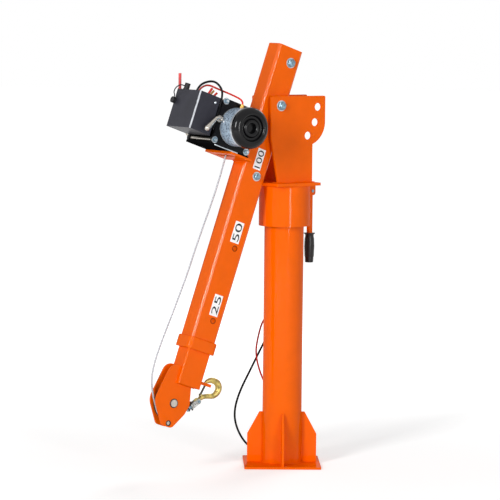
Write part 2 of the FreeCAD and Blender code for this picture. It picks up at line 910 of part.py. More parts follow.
# Winch base and end plates
winch_x = -size.winch_front
winch_z = -size.winch_drop
plate_inner = size.end_plate_gap / 2
plate_outer = plate_inner + size.end_plate_thick
plate(
    "winch_base",
    frame_corners(size.winch_base_front, -size.winch_base_rear, plate_outer, size.flange_corner),
    "bracket_level - end_plate_bottom",
    local(boom_frame, z=-size.bracket_level),
    windows=[slot],
)
end_corners = [
    (-size.end_plate_front, -size.end_plate_bottom),
    (-size.end_plate_rear, -size.end_plate_bottom),
    (-size.end_plate_rear, -size.end_plate_top, size.end_plate_corner),
    (-size.end_plate_front, -size.end_plate_top, size.end_plate_corner),
]
end_hole = [(winch_x, winch_z, "drum_shaft_dia + 2 * running_gap")]
end_plates = []
for level in (-plate_inner, plate_outer):
    end_plates.append(
        plate(
            f"end_plate_{len(end_plates)}",
            end_corners,
            "end_plate_thick",
            Placement(Vector(0, level, 0), UPRIGHT),
            end_hole,
            kept=False,
        )
    )

# Tie rods between the end plates, with their bolt heads outside
rods = []
heads = []
for x in (winch_x - size.tie_forward, winch_x + size.tie_forward):
    for z in (winch_z - size.tie_lower, winch_z + size.tie_rise):
        number = len(rods)
        rods.append(cross_rod(f"tie_rod_{number}", "tie_rod_dia / 2", "end_plate_gap", x, -plate_inner, z))
        for label, level in (("near", -plate_outer - size.tie_head_height), ("far", plate_outer)):
            heads.append(
                cross_rod(f"tie_head_{number}_{label}", "tie_head_dia / 2", "tie_head_height", x, level, z)
            )
keep(group("tie_rod", rods, boom_frame), "tie_rods")
lever_pin_drop = -size.lever_pin_drop
lever_pin_start = -plate_outer - size.lever_hub_thick - size.slide_gap
heads.append(
    cross_rod(
        "lever_pin",
        "lever_pin_dia / 2",
        "lever_hub_thick + slide_gap",
        -size.lever_pin_front,
        lever_pin_start,
        lever_pin_drop,
    )
)
keep(group("tie_head", heads, boom_frame), "tie_bolts")

# Drum with its two flanges and its shaft ends
drum_outer = plate_inner - size.face_gap
drum_inner = drum_outer - size.drum_flange_thick
shaft_end = plate_inner + size.drum_shaft_reach
core_radius = size.drum_core_dia / 2
half_section = [
    (size.drum_shaft_dia / 2, shaft_end),
    (size.drum_shaft_dia / 2, drum_outer),
    (size.drum_flange_dia / 2, drum_outer),
    (size.drum_flange_dia / 2, drum_inner),
    (core_radius, drum_inner),
]
drum_section = [(0, -shaft_end)]
drum_section += [(radius, -level) for radius, level in half_section]
drum_section += list(reversed(half_section))
drum_section.append((0, shaft_end))
winch_place = local(boom_frame, winch_x, 0, winch_z)
turned("drum", drum_section, winch_place)


def tangent_arc(start, corner, end):
    """The arc that leaves start towards corner and arrives at end from it."""
    back = (start - corner).normalize()
    ahead = (end - corner).normalize()
    half = back.getAngle(ahead) / 2
    reach = (start - corner).Length
    bisector = (back + ahead).normalize()
    middle = corner + bisector * (reach / math.cos(half) - reach * math.tan(half))
    return Part.Arc(start, middle, end).toShape()


def double_arc(start, start_heading, end, end_heading):
    """Two tangent arcs from one place and heading to another."""
    span = start - end
    both = start_heading + end_heading
    square_term = both.dot(both) - 4
    mixed_term = 2 * span.dot(both)
    plain_term = span.dot(span)
    root = math.sqrt(mixed_term * mixed_term - 4 * square_term * plain_term)
    reach = (-mixed_term - root) / (2 * square_term)
    first = start + start_heading * reach
    second = end - end_heading * reach
    joint = (first + second) / 2
    return [tangent_arc(start, first, joint), tangent_arc(joint, second, end)]


# Rope winding: the outer layer on the drum, from the near flange to where the rope leaves
def rope_winding():
    """One unbroken helix of quarter turns with a straight end at each side."""
    radius = core_radius + size.rope_dia / 2
    quarters = int(size.rope_turns) * 4
    rise = size.rope_pitch / (2 * math.pi)

    def station(number):
        angle = (quarters - number) * math.pi / 2
        point = Vector(radius * math.cos(angle), -rise * angle, radius * math.sin(angle))
        heading = Vector(radius * math.sin(angle), rise, -radius * math.cos(angle)).normalize()
        return point, heading

    edges = []
    point, heading = station(0)
    start = point - heading * size.rope_dia
    edges.append(Part.makeLine(start, point))
    first_heading = heading
    for number in range(1, quarters + 1):
        upcoming, upcoming_heading = station(number)
        edges += double_arc(point, heading, upcoming, upcoming_heading)
        point, heading = upcoming, upcoming_heading
    edges.append(Part.makeLine(point, point + heading * size.rope_dia))
    route = Part.Wire(edges)
    profile = Part.Wire([Part.makeCircle(size.rope_dia / 2, start, first_heading)])
    solid = route.makePipeShell([profile], True, False)
    if solid.Volume < 0:
        solid.reverse()
    print(f"rope_winding: length {route.Length:.0f}, least gap {size.rope_pitch - size.rope_dia:.2f}")
    return solid


shaped("rope_winding", rope_winding(), winch_place)

# Motor, its end cap and the gearbox on the far side
motor_end = plate_outer + size.motor_length
band_start = motor_end - size.motor_band_width
band_radius = size.motor_dia / 2 + size.motor_band_thick
motor_section = [
    (0, -plate_outer),
    (size.motor_dia / 2, -plate_outer),
    (size.motor_dia / 2, -band_start),
    (band_radius, -band_start),
    (band_radius, -motor_end),
    (0, -motor_end),
]
turned("motor_body", motor_section, winch_place)
cap_end = motor_end + size.cap_length
cap_floor = cap_end - size.cap_recess
cap_edge = size.cap_recess / 2
cap_section = [
    (0, -motor_end),
    (size.cap_dia / 2, -motor_end, size.cap_chamfer),
    (size.cap_dia / 2, -cap_end, size.cap_round),
    (size.cap_ring_dia / 2, -cap_end),
    (size.cap_ring_dia / 2 - cap_edge, -cap_floor),
    (size.cap_hub_dia / 2 + cap_edge, -cap_floor),
    (size.cap_hub_dia / 2, -cap_end),
    (0, -cap_end),
]
turned("motor_cap", cap_section, winch_place)
gear_end = plate_outer + size.gearbox_length
gear_step = gear_end - size.gearbox_step
gear_section = [
    (0, plate_outer),
    (size.gearbox_dia / 2, plate_outer),
    (size.gearbox_dia / 2, gear_step - size.cap_chamfer),
    (size.gearbox_dia / 2 - size.cap_chamfer, gear_step),
    (size.gearbox_end_dia / 2, gear_step),
    (size.gearbox_end_dia / 2, gear_end - size.cap_chamfer),
    (size.gearbox_end_dia / 2 - size.cap_chamfer, gear_end),
    (0, gear_end),
]
turned("gearbox", gear_section, winch_place)

# Control box with its lid, carried by two straps from the end plates
box_rules = ("box_front - box_rear", "2 * box_half_width", "box_bottom - box_top - box_lid_thick")
box_base = block("box_block", box_rules)
box_base.Placement = Placement(Vector(-size.box_front, -size.box_half_width, -size.box_bottom), Rotation())
doc.recompute()


def upright_edges(shape, height):
    """Numbers of a box's four upright edges."""
    found = []
    for number, edge in enumerate(shape.Edges, start=1):
        bounds = edge.BoundBox
        if abs(bounds.ZLength - height) < size.running_gap:
            found.append(number)
    return found


def soften(name, item, numbers, radius):
    """Round the listed edges of an object."""
    rounded = doc.addObject("Part::Fillet", f"{name}_fillet")
    rounded.Base = item
    rounded.Edges = [(number, radius, radius) for number in numbers]
    return rounded


box_height = size.box_bottom - size.box_top - size.box_lid_thick
soft_box = soften("control_box", box_base, upright_edges(box_base.Shape, box_height), size.box_round)
soft_box.Placement = boom_frame
keep(soft_box, "control_box")
plate(
    "box_lid",
    frame_corners(size.box_front, -size.box_rear, size.box_half_width, size.box_round),
    "box_lid_thick",
    local(boom_frame, z=-size.box_top - size.box_lid_thick),
)
strap_height = size.box_bottom - 2 * size.box_top
strap_bottom = size.box_top / 2 - size.box_bottom
straps = []
for number, level in enumerate((-size.box_half_width, plate_inner)):
    strap = block(
        f"box_strap_{number}",
        ("box_rear - end_plate_front", "box_strap_width", "box_bottom - 2 * box_top"),
    )
    strap.Placement = Placement(Vector(-size.box_rear, level, strap_bottom), Rotation())
    straps.append(strap)
keep(group("winch_end", end_plates + straps, boom_frame), "winch_end_plates")


def in_boom(front, side, drop):
    """A point of the boom's frame, from its distances forward, to the side and down."""
    return Vector(-front, side, -drop)


def strip(start, end, thick, first_side, last_side):
    """A flat bar between two points of the boom's middle plane, from one side to the other."""
    heading = (end - start).normalize()
    across = heading.cross(Y_AXIS) * (thick / 2)
    lift = Vector(0, first_side, 0)
    loop = [start + across + lift, end + across + lift, end - across + lift, start - across + lift]
    face = Part.Face(Part.makePolygon(loop + loop[:1]))
    return face.extrude(Vector(0, last_side - first_side, 0))


def rod_between(start, end, radius):
    """A round rod between two points."""
    return Part.makeCylinder(radius, (end - start).Length, start, end - start)


# Clutch lever on the near end plate
lever_side = -plate_outer - size.lever_hub_thick / 2
lever_hub = in_boom(size.lever_pin_front, lever_side, size.lever_pin_drop)
lever_bend = in_boom(size.lever_bend_front, lever_side, size.lever_bend_drop)
lever_tip = in_boom(size.lever_tip_front, lever_side, size.lever_tip_drop)
hub_start = lever_hub - Y_AXIS * (size.lever_hub_thick / 2)
rod_radius = size.lever_rod_dia / 2
ball_radius = size.lever_ball_dia / 2
lever = Part.makeCylinder(size.lever_hub_dia / 2, size.lever_hub_thick, hub_start, Y_AXIS)
lever_run = lever_tip - lever_bend
lever = lever.fuse([
    rod_between(lever_hub, lever_bend, rod_radius),
    Part.makeSphere(rod_radius, lever_bend),
    Part.makeCone(rod_radius, ball_radius, lever_run.Length, lever_bend, lever_run),
    Part.makeSphere(ball_radius, lever_tip),
])
lever_bore = size.lever_pin_dia / 2 + size.running_gap
lever = lever.cut(Part.makeCylinder(lever_bore, size.lever_hub_thick, hub_start, Y_AXIS))
shaped("clutch_lever", lever.removeSplitter(), boom_frame)

# Motor terminal and the two leads between it and the control box
terminal_foot = in_boom(size.terminal_front, -size.terminal_side, size.terminal_top + size.terminal_dia)
terminal = Part.makeCylinder(size.terminal_dia / 2, size.terminal_dia, terminal_foot, Z_AXIS)
motor_room = Part.makeCylinder(
    size.motor_dia / 2, size.motor_length, in_boom(size.winch_front, -motor_end, size.winch_drop), Y_AXIS
)
shaped("motor_terminal", terminal.cut(motor_room), boom_frame)


def route_from(foot, span, shares):
    """Points given as shares of a span from a foot."""
    return [foot + Vector(x, y, z) * span for x, y, z in shares]


black_arch_shares = [
    (0.133, -0.05, 0.45), (0.567, -0.25, 0.717), (0.892, -0.517, 0.483),
]
black_foot = in_boom(size.black_arch_front, -size.black_arch_side, size.box_top)
strap_middle = (size.box_rear + size.end_plate_front) / 2
black_end = Vector(-strap_middle, -(plate_inner + size.box_half_width) / 2, strap_bottom + strap_height)
black_arch = [black_foot, black_foot + Z_AXIS * size.motor_lead_dia]
black_arch += route_from(black_foot, size.arch_span, black_arch_shares)
black_arch += [black_end + Z_AXIS * (size.arch_span * size.bend_share), black_end]
cord("motor_lead_black", black_arch, size.motor_lead_dia, boom_frame)

red_arch_shares = [
    (0.067, -0.033, 0.3), (0.3, -0.133, 0.5), (0.7, -0.433, 0.417), (1.167, -0.833, 0.35),
]
red_foot = in_boom(size.red_arch_front, -size.red_arch_side, size.box_top)
red_end = in_boom(size.terminal_front, -size.terminal_side, size.terminal_top)
red_arch = [red_foot, red_foot + Z_AXIS * size.motor_red_dia]
red_arch += route_from(red_foot, size.arch_span, red_arch_shares)
red_arch += [red_end + Z_AXIS * size.terminal_dia, red_end]
cord("motor_lead_red", red_arch, size.motor_red_dia, boom_frame)

# Remote socket on the lid, and its cap on a strap
socket_foot = in_boom(size.socket_front, size.socket_side, size.box_top)
socket = Part.makeCylinder(size.socket_dia / 2, size.socket_length, socket_foot, Z_AXIS)
socket = socket.fuse(Part.makeCylinder(size.socket_rim_dia / 2, size.socket_rim, socket_foot, Z_AXIS))
shaped("remote_socket", socket, boom_frame)
cap_radius = size.socket_cap_dia / 2
cap_foot = in_boom(size.box_front, size.socket_cap_side, size.socket_cap_drop)
keep(
    cylinder(
        "socket_cap_disc",
        "socket_cap_dia / 2",
        "socket_cap_thick",
        boom_frame.multiply(Placement(cap_foot, Rotation(Y_AXIS, -QUARTER))),
    ),
    "socket_cap",
)
strap_shares = [
    (-0.158, 0.067, 0), (-0.308, 0.183, -0.15), (-0.308, 0.267, -0.4),
]
strap_foot = in_boom(size.socket_front + size.socket_dia / 2, size.socket_side, size.strap_drop)
cap_top_point = cap_foot + Z_AXIS * cap_radius - X_AXIS * (size.socket_cap_thick / 2)
strap_points = [strap_foot, strap_foot - X_AXIS * size.strap_dia]
strap_points += route_from(strap_foot, size.strap_span, strap_shares)
strap_points += [cap_top_point + Z_AXIS * (2 * size.strap_dia), cap_top_point]
cord("cap_strap", strap_points, size.strap_dia, boom_frame)

# Red boot that stands upright on the lid's front corner
boot_foot = in_boom(size.red_boot_front, size.red_boot_side, size.box_top)
upward = Vector(-math.sin(hang), 0, math.cos(hang))
boot = Part.makeCylinder(size.red_boot_collar_dia / 2, size.red_boot_collar, boot_foot, Z_AXIS)
boot_start = boot_foot + Z_AXIS * (size.red_boot_collar / 2)
boot = boot.fuse(Part.makeCylinder(size.red_boot_dia / 2, size.red_boot_height, boot_start, upward))
shaped("red_boot", boot, boom_frame)

# Inner boom with slots for the pulley cheeks
inner_front = size.boom_front - size.boom_wall - size.slide_gap
inner_rear = boom_rear - size.boom_wall - size.slide_gap
inner_side = boom_side - size.boom_wall - size.slide_gap
inner_tube = plate(
    "inner_tube",
    frame_corners(inner_front, inner_rear, inner_side, size.inner_corner),
    "inner_bottom - inner_top",
    Placement(Vector(0, 0, -size.inner_bottom), Rotation()),
    windows=[
        frame_corners(
            inner_front - size.inner_wall,
            inner_rear - size.inner_wall,
            inner_side - size.inner_wall,
            size.inner_corner - size.inner_wall,
        )
    ],
    kept=False,
)
inner_cuts = [boom_hole("inner_stop_hole", "stop_bolt_dia / 2 + running_gap", -size.stop_bolt_drop)]
cheek_inner = size.cheek_gap / 2
cheek_outer = cheek_inner + size.cheek_thick
for number, level in enumerate((cheek_inner, -cheek_outer)):
    slot_room = block(f"cheek_slot_{number}", ("2 * inner_wall", "cheek_thick", "inner_bottom - cheek_top"))
    slot_room.Placement = Placement(
        Vector(-inner_front - size.inner_wall / 2, level, -size.inner_bottom), Rotation()
    )
    inner_cuts.append(slot_room)
keep(cut("inner_boom", inner_tube, group("inner_cut", inner_cuts), boom_frame), "inner_boom")

# Pulley cheeks, their pins and the sheave
cheek_shares = [
    (0.235, 0), (-0.24, 0, 0.155), (-0.36, -0.644, 0.24), (-0.098, -1, 0.085),
    (0.093, -1, 0.085), (0.256, -0.727, 0.15), (0.3, -0.567, 0.09), (0.235, -0.305),
]
cheek_corners = []
for share in cheek_shares:
    x = share[0] * size.cheek_length - size.sheave_front
    z = share[1] * size.cheek_length - size.cheek_top
    cheek_corners.append((x, z, *[part * size.cheek_length for part in share[2:]]))
cheek_holes = [
    (-size.sheave_front, -size.sheave_drop, "sheave_pin_dia"),
    (-size.guard_front, -size.guard_drop, "guard_dia"),
]
cheeks = []
for level in (-cheek_inner, cheek_outer):
    cheeks.append(
        plate(
            f"cheek_{len(cheeks)}",
            cheek_corners,
            "cheek_thick",
            Placement(Vector(0, level, 0), UPRIGHT),
            cheek_holes,
            kept=False,
        )
    )
keep(group("cheek", cheeks, boom_frame), "pulley_cheeks")
pins = [
    cross_rod(
        "sheave_pin",
        "sheave_pin_dia / 2",
        "cheek_gap + 2 * cheek_thick + 2 * sheave_pin_proud",
        -size.sheave_front,
        -cheek_outer - size.sheave_pin_proud,
        -size.sheave_drop,
    ),
    cross_rod(
        "guard_pin",
        "guard_dia / 2",
        "cheek_gap + 2 * cheek_thick",
        -size.guard_front,
        -cheek_outer,
        -size.guard_drop,
    ),
]
keep(group("pulley_pin", pins, boom_frame), "pulley_pins")
sheave_bore = size.sheave_pin_dia / 2 + size.running_gap
sheave_radius = size.sheave_dia / 2
sheave_half = size.sheave_width / 2
lip = size.sheave_edge + size.sheave_lip + size.sheave_edge
sheave_half_section = [
    (sheave_bore, -sheave_half),
    (sheave_radius - size.sheave_edge, -sheave_half),
    (sheave_radius, -sheave_half + size.sheave_edge),
    (sheave_radius, -lip),
    (size.sheave_groove_radius, -size.sheave_groove_half),
]
sheave_section = sheave_half_section + [(radius, -level) for radius, level in reversed(sheave_half_section)]
turned("sheave", sheave_section, local(boom_frame, -size.sheave_front, 0, -size.sheave_drop))

# Parking lug beside the hook
lug_rules = ("lug_reach - boom_depth + boom_front + boom_wall + slide_gap", "lug_thick", "lug_height")
lug = block("lug_block", lug_rules)
lug.Placement = local(
    boom_frame, inner_rear, -size.lug_side - size.lug_thick, -size.lug_top - size.lug_height
)
keep(lug, "hook_lug")

# Where the rope lies on the sheave and leaves it for the hook
sheave_centre = in_boom(size.sheave_front, 0, size.sheave_drop)
hook_eye = Vector(size.hook_pin_rear, 0, -size.hook_pin_drop)
rope_radius = size.sheave_groove_radius + size.rope_dia / 2 + size.face_gap


def on_sheave(angle):
    """The point of the rope's centre line at an angle round the sheave."""
    return sheave_centre + Vector(math.cos(angle), 0, math.sin(angle)) * rope_radius


def tangent_angle(point, side):
    """The angle at which a straight rope from a point touches the sheave, on one side of it."""
    reach = point - sheave_centre
    opening = math.acos(rope_radius / reach.Length)
    return math.atan2(reach.z, reach.x) + side * opening


rope_run_shares = [
    (-0.1353, -0.235), (-0.1318, -0.3348), (-0.1339, -0.4345), (-0.1396, -0.5342),
    (-0.1446, -0.6339), (-0.1467, -0.7336), (-0.1538, -0.8333), (-0.1624, -0.933),
    (-0.1709, -1.0328), (-0.1724, -1.1182), (-0.1543, -1.188),
]
winding_reach = math.hypot(core_radius + size.rope_dia, size.rope_dia) + size.face_gap
rope_start_drop = math.sqrt(winding_reach ** 2 - core_radius ** 2)
rope_start = in_boom(rope_front, 0, size.winch_drop + rope_start_drop)
rope_points = [rope_start]
rope_points += [Vector(x, 0, z) * size.boom_below for x, z in rope_run_shares]
first_angle = tangent_angle(rope_points[-1], 1)
last_angle = tangent_angle(hook_eye, -1)
first_touch = on_sheave(first_angle)
last_touch = on_sheave(last_angle)
wrap = (last_angle - first_angle) % (2 * math.pi)
rope_heading = (hook_eye - last_touch).normalize()
clevis_start = hook_eye - rope_heading * (size.clevis_reach + size.clevis_barrel)
clamp_start = clevis_start - rope_heading * size.clamp_length


def rope_run():
    """The rope from the drum down the boom, round the sheave and up to its clamp."""
    edges, radii = rounded_route(rope_points + [first_touch], size.bend_share)
    middle = on_sheave(first_angle + wrap / 2)
    edges.append(Part.Arc(first_touch, middle, last_touch).toShape())
    edges.append(Part.makeLine(last_touch, clamp_start))
    route = Part.Wire(edges)
    heading = rope_points[1] - rope_points[0]
    profile = Part.Wire([Part.makeCircle(size.rope_dia / 2, rope_points[0], heading)])
    solid = route.makePipeShell([profile], True, False)
    if solid.Volume < 0:
        solid.reverse()
    listed = ", ".join(f"{radius:.0f}" for radius in radii)
    print(f"rope_run: length {route.Length:.0f}, bend radii {listed}, sheave {rope_radius:.0f}")
    return solid


shaped("rope_run", rope_run(), boom_frame)

# Rope clamp, clevis and hook pin
clamp = Part.makeCylinder(size.clamp_dia / 2, size.clamp_length, clamp_start, rope_heading)
for number in range(3):
    ridge_start = clamp_start + rope_heading * (number * (size.clamp_length - size.clamp_ridge) / 2)
    ridge = Part.makeCylinder(size.clamp_ridge_dia / 2, size.clamp_ridge, ridge_start, rope_heading)
    clamp = clamp.fuse(ridge)
shaped("rope_clamp", clamp.removeSplitter(), boom_frame)
clevis_inner = size.hook_eye_width / 2 + size.face_gap
clevis_outer = clevis_inner + size.clevis_thick
barrel_radius = size.clevis_barrel_dia / 2
clevis = Part.makeCylinder(barrel_radius, size.clevis_barrel, clevis_start, rope_heading)
for level in (-clevis_outer, clevis_inner):
    ear = strip(clevis_start, hook_eye, size.clevis_barrel_dia, level, level + size.clevis_thick)
    round_end = Part.makeCylinder(barrel_radius, size.clevis_thick, hook_eye + Y_AXIS * level, Y_AXIS)
    clevis = clevis.fuse([ear, round_end])
pin_half = clevis_outer + size.sheave_pin_proud
pin_start = hook_eye - Y_AXIS * pin_half
clevis = clevis.cut(Part.makeCylinder(size.hook_pin_dia / 2, 2 * pin_half, pin_start, Y_AXIS))
shaped("clevis", clevis.removeSplitter(), boom_frame)
shaped("hook_pin", Part.makeCylinder(size.hook_pin_dia / 2, 2 * pin_half, pin_start, Y_AXIS), boom_frame)

def halfway(points):
    """Each point with one more between it and the next, on a smooth line through them all."""
    made = []
    for number, (point, following) in enumerate(zip(points, points[1:])):
        before = points[max(number - 1, 0)]
        after = points[min(number + 2, len(points) - 1)]
        made += [point, (point + following) * SMOOTH_NEAR_SHARE - (before + after) * SMOOTH_FAR_SHARE]
    return made + [points[-1]]


# Hook: a tapering round bar from its eye to its tip, with ears and a pin for the latch
SMOOTH_NEAR_SHARE = 9 / 16
SMOOTH_FAR_SHARE = 1 / 16
hook_shares = [
    (0.067, 0.125, 0.1), (0.233, 0.275, 0.108), (0.483, 0.367, 0.117), (0.733, 0.45, 0.125),
    (0.883, 0.667, 0.147), (0.883, 0.892, 0.155), (0.733, 1.067, 0.15), (0.483, 1.108, 0.14),
    (0.283, 1.05, 0.113), (0.15, 0.942, 0.077), (0.083, 0.858, 0.04),
]
bar_shares = halfway([Vector(x, girth, z) for x, z, girth in hook_shares])
stations = [hook_eye + Vector(share.x, 0, share.z) * size.hook_span for share in bar_shares]
girths = [share.y * size.hook_span for share in bar_shares]
bar_rings = []
for number, station_point in enumerate(stations):
    before = stations[max(number - 1, 0)]
    after = stations[min(number + 1, len(stations) - 1)]
    bar_rings.append(Part.Wire([Part.makeCircle(girths[number], station_point, after - before)]))
bar_shape = Part.makeLoft(bar_rings, True, True)
if bar_shape.Volume < 0:
    bar_shape.reverse()
latch_point = in_boom(-size.latch_rear, 0, size.latch_drop)
latch_tip = in_boom(-size.latch_tip_rear, 0, size.latch_tip_drop)
ear_foot = in_boom(-size.latch_ear_rear, 0, size.latch_ear_drop)
ear_inner = size.latch_width / 2 + size.face_gap
ear_outer = ear_inner + size.latch_ear_thick
eye_start = hook_eye - Y_AXIS * (size.hook_eye_width / 2)
hook = Part.makeCylinder(size.hook_eye_dia / 2, size.hook_eye_width, eye_start, Y_AXIS)
hook_parts = [bar_shape, Part.makeSphere(girths[-1], stations[-1])]
latch_pin_start = latch_point - Y_AXIS * ear_outer
hook_parts.append(Part.makeCylinder(size.latch_pin_dia / 2, 2 * ear_outer, latch_pin_start, Y_AXIS))
for level in (-ear_outer, ear_inner):
    far_level = level + size.latch_ear_thick
    hook_parts.append(strip(latch_point, ear_foot, size.latch_barrel_dia, level, far_level))
    ear_disc_start = latch_point + Y_AXIS * level
    hook_parts.append(
        Part.makeCylinder(size.latch_barrel_dia / 2, size.latch_ear_thick, ear_disc_start, Y_AXIS)
    )
hook = hook.fuse(hook_parts)
eye_bore = size.hook_pin_dia / 2 + size.running_gap
hook = hook.cut(Part.makeCylinder(eye_bore, size.hook_eye_width, eye_start, Y_AXIS))
shaped("hook", hook.removeSplitter(), boom_frame)

latch_start = latch_point - Y_AXIS * (size.latch_width / 2)
latch = Part.makeCylinder(size.latch_barrel_dia / 2, size.latch_width, latch_start, Y_AXIS)
latch_side = size.latch_width / 2
latch = latch.fuse(strip(latch_point, latch_tip, size.latch_thick, -latch_side, latch_side))
latch_bore = size.latch_pin_dia / 2 + size.running_gap
latch = latch.cut(Part.makeCylinder(latch_bore, size.latch_width, latch_start, Y_AXIS))
shaped("hook_latch", latch.removeSplitter(), boom_frame)

# Battery leads from the grommet behind the post down to the floor, with ring terminals
black_lead_shares = [
    (-0.0211, 0.2066, 0.9601), (-0.061, 0.2441, 0.8685), (-0.1221, 0.2559, 0.7418),
    (-0.1925, 0.2606, 0.5939), (-0.2793, 0.2582, 0.4131), (-0.3075, 0.2582, 0.277),
    (-0.2746, 0.2629, 0.1596), (-0.2066, 0.277, 0.0657), (-0.1127, 0.3099, 0.0129),
    (-0.0047, 0.3521, 0.0108), (0.0939, 0.3662, 0.0099), (0.1784, 0.3498, 0.0099),
]
red_lead_shares = [
    (0, 0.1878, 0.9977), (-0.0704, 0.2019, 0.9718), (-0.1268, 0.1784, 0.9108),
    (-0.1549, 0.1667, 0.8099), (-0.1714, 0.1643, 0.7042), (-0.1455, 0.1667, 0.5869),
    (-0.0986, 0.1784, 0.4812), (-0.0704, 0.2066, 0.3521), (-0.0563, 0.2441, 0.223),
    (-0.0235, 0.277, 0.1127), (0.0329, 0.3005, 0.0329), (0.1033, 0.3052, 0.0094),
    (0.1643, 0.2911, 0.0094),
]
grommet_face = post_radius + size.grommet_proud
lead_tables = (
    ("lead_black", -1, size.black_lead_dia, black_lead_shares),
    ("lead_red", 1, size.red_lead_dia, red_lead_shares),
)
lead_ends = []
for name, side, diameter, shares in lead_tables:
    lead_foot = Vector(side * diameter, grommet_face, size.grommet_height)
    lead_points = [lead_foot, lead_foot + Y_AXIS * diameter]
    lead_points += route_from(Vector(), size.grommet_height, shares)
    cord(name, lead_points, diameter, base_frame)
    heading = (lead_points[-1] - lead_points[-2]).normalize()
    barrel_end = lead_points[-1] + heading * size.barrel_length
    ring_middle = barrel_end + heading * (size.ring_dia / 2 - size.ring_thick)
    ring_start = ring_middle - Z_AXIS * (size.ring_thick / 2)
    terminal_ring = Part.makeCylinder(size.ring_dia / 2, size.ring_thick, ring_start, Z_AXIS)
    terminal_ring = terminal_ring.fuse(
        rod_between(lead_points[-1], barrel_end, diameter / 2 + size.barrel_wall)
    )
    eye = Part.makeCylinder(size.ring_hole / 2, size.ring_thick, ring_start, Z_AXIS)
    lead_ends.append(shaped(f"{name}_ring", terminal_ring.cut(eye), kept=False))
keep(group("lead_ring", lead_ends), "lead_rings")

# Check every object, then write one file for each node
doc.recompute()
for item in doc.Objects:
    if "Invalid" in item.State or "Error" in item.State:
        raise RuntimeError(f"{item.Label} did not build: {item.State}")
for name, item in nodes.items():
    shape = item.Shape
    if shape.isNull() or not shape.isValid():
        raise RuntimeError(f"{name} has no valid shape")
    shape.exportStep(f"parts/{name}.step")
print(f"{len(nodes)} nodes written")
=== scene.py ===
"""Looks for the pickup truck crane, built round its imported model."""

import json
import logging
import math
from dataclasses import dataclass, field
from enum import Enum
from typing import Any, Iterable, Sequence

import bmesh
import bpy
from mathutils import Matrix, Vector

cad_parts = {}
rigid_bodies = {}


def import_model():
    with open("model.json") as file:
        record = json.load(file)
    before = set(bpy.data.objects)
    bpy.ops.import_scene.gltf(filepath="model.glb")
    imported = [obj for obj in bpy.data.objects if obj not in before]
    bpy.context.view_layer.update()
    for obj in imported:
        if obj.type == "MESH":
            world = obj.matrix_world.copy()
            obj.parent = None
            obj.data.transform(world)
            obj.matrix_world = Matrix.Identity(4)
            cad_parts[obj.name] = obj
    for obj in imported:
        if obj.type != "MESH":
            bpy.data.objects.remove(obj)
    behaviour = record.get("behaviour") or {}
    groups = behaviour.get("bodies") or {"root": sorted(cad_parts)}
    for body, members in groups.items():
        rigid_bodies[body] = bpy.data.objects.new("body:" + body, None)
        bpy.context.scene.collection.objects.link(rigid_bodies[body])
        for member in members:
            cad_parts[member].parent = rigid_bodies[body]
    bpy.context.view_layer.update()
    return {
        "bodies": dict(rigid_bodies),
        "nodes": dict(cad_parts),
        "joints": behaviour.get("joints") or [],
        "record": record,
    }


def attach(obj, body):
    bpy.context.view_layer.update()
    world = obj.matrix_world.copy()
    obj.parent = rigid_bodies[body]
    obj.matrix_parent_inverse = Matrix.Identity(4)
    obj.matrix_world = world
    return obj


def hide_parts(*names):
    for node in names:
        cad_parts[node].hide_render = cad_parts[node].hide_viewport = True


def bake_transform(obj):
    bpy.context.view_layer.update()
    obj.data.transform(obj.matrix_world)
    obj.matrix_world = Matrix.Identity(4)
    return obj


LOG = logging.getLogger("crane")
MM = 0.001
Colour = tuple[float, float, float]
Point = tuple[float, float, float]
Pair = tuple[float, float]
Section = tuple[Pair, ...]
Route = tuple[Point, ...]


class Body(Enum):
    """The bodies that new pieces ride on."""

    BASE = "base"
    HEAD = "head"
    HANDLE = "handle"
    OUTER = "outer_boom"
    DRUM = "drum"
    LEVER = "clutch_lever"
    INNER = "inner_boom"


class Slot(Enum):
    """The record's material slots, which new pieces carry but nothing here assigns."""

    ORANGE = "orange_paint"
    ZINC = "zinc_plate"
    WINCH = "winch_black"
    SILVER = "motor_silver"
    CAP = "cap_gloss"
    BLACK = "black_rubber"
    RED = "red_rubber"
    ROPE = "wire_rope"


class Lay(Enum):
    """How a cord lies."""

    HANGING = "hanging"
    LOOSE = "loose"
    COILED = "coiled"
    TAUT = "taut"


class End(Enum):
    """What is on a cord's far end."""

    OBJECT = "object"
    FITTING = "fitting"


def linear(colour: Colour) -> tuple[float, float, float, float]:
    """Turn a screen colour of 0 to 255 into the shader's linear one.

    Args:
        colour: red, green and blue as they look on a screen.

    Returns:
        The linear colour with an alpha of 1.
    """
    steps = [part / 255 for part in colour]
    made = [step / 12.92 if step <= 0.04045 else ((step + 0.055) / 1.055) ** 2.4 for step in steps]
    return (made[0], made[1], made[2], 1.0)


def grey(level: float) -> tuple[float, float, float, float]:
    """A linear grey with an alpha of 1."""
    return (level, level, level, 1.0)


def add_object(name: str, data: Any) -> bpy.types.Object:
    """Put a mesh, curve, lamp or camera in the scene.

    Args:
        name: the new object's name.
        data: what it shows.

    Returns:
        The object.
    """
    made = bpy.data.objects.new(name, data)
    bpy.context.scene.collection.objects.link(made)
    return made


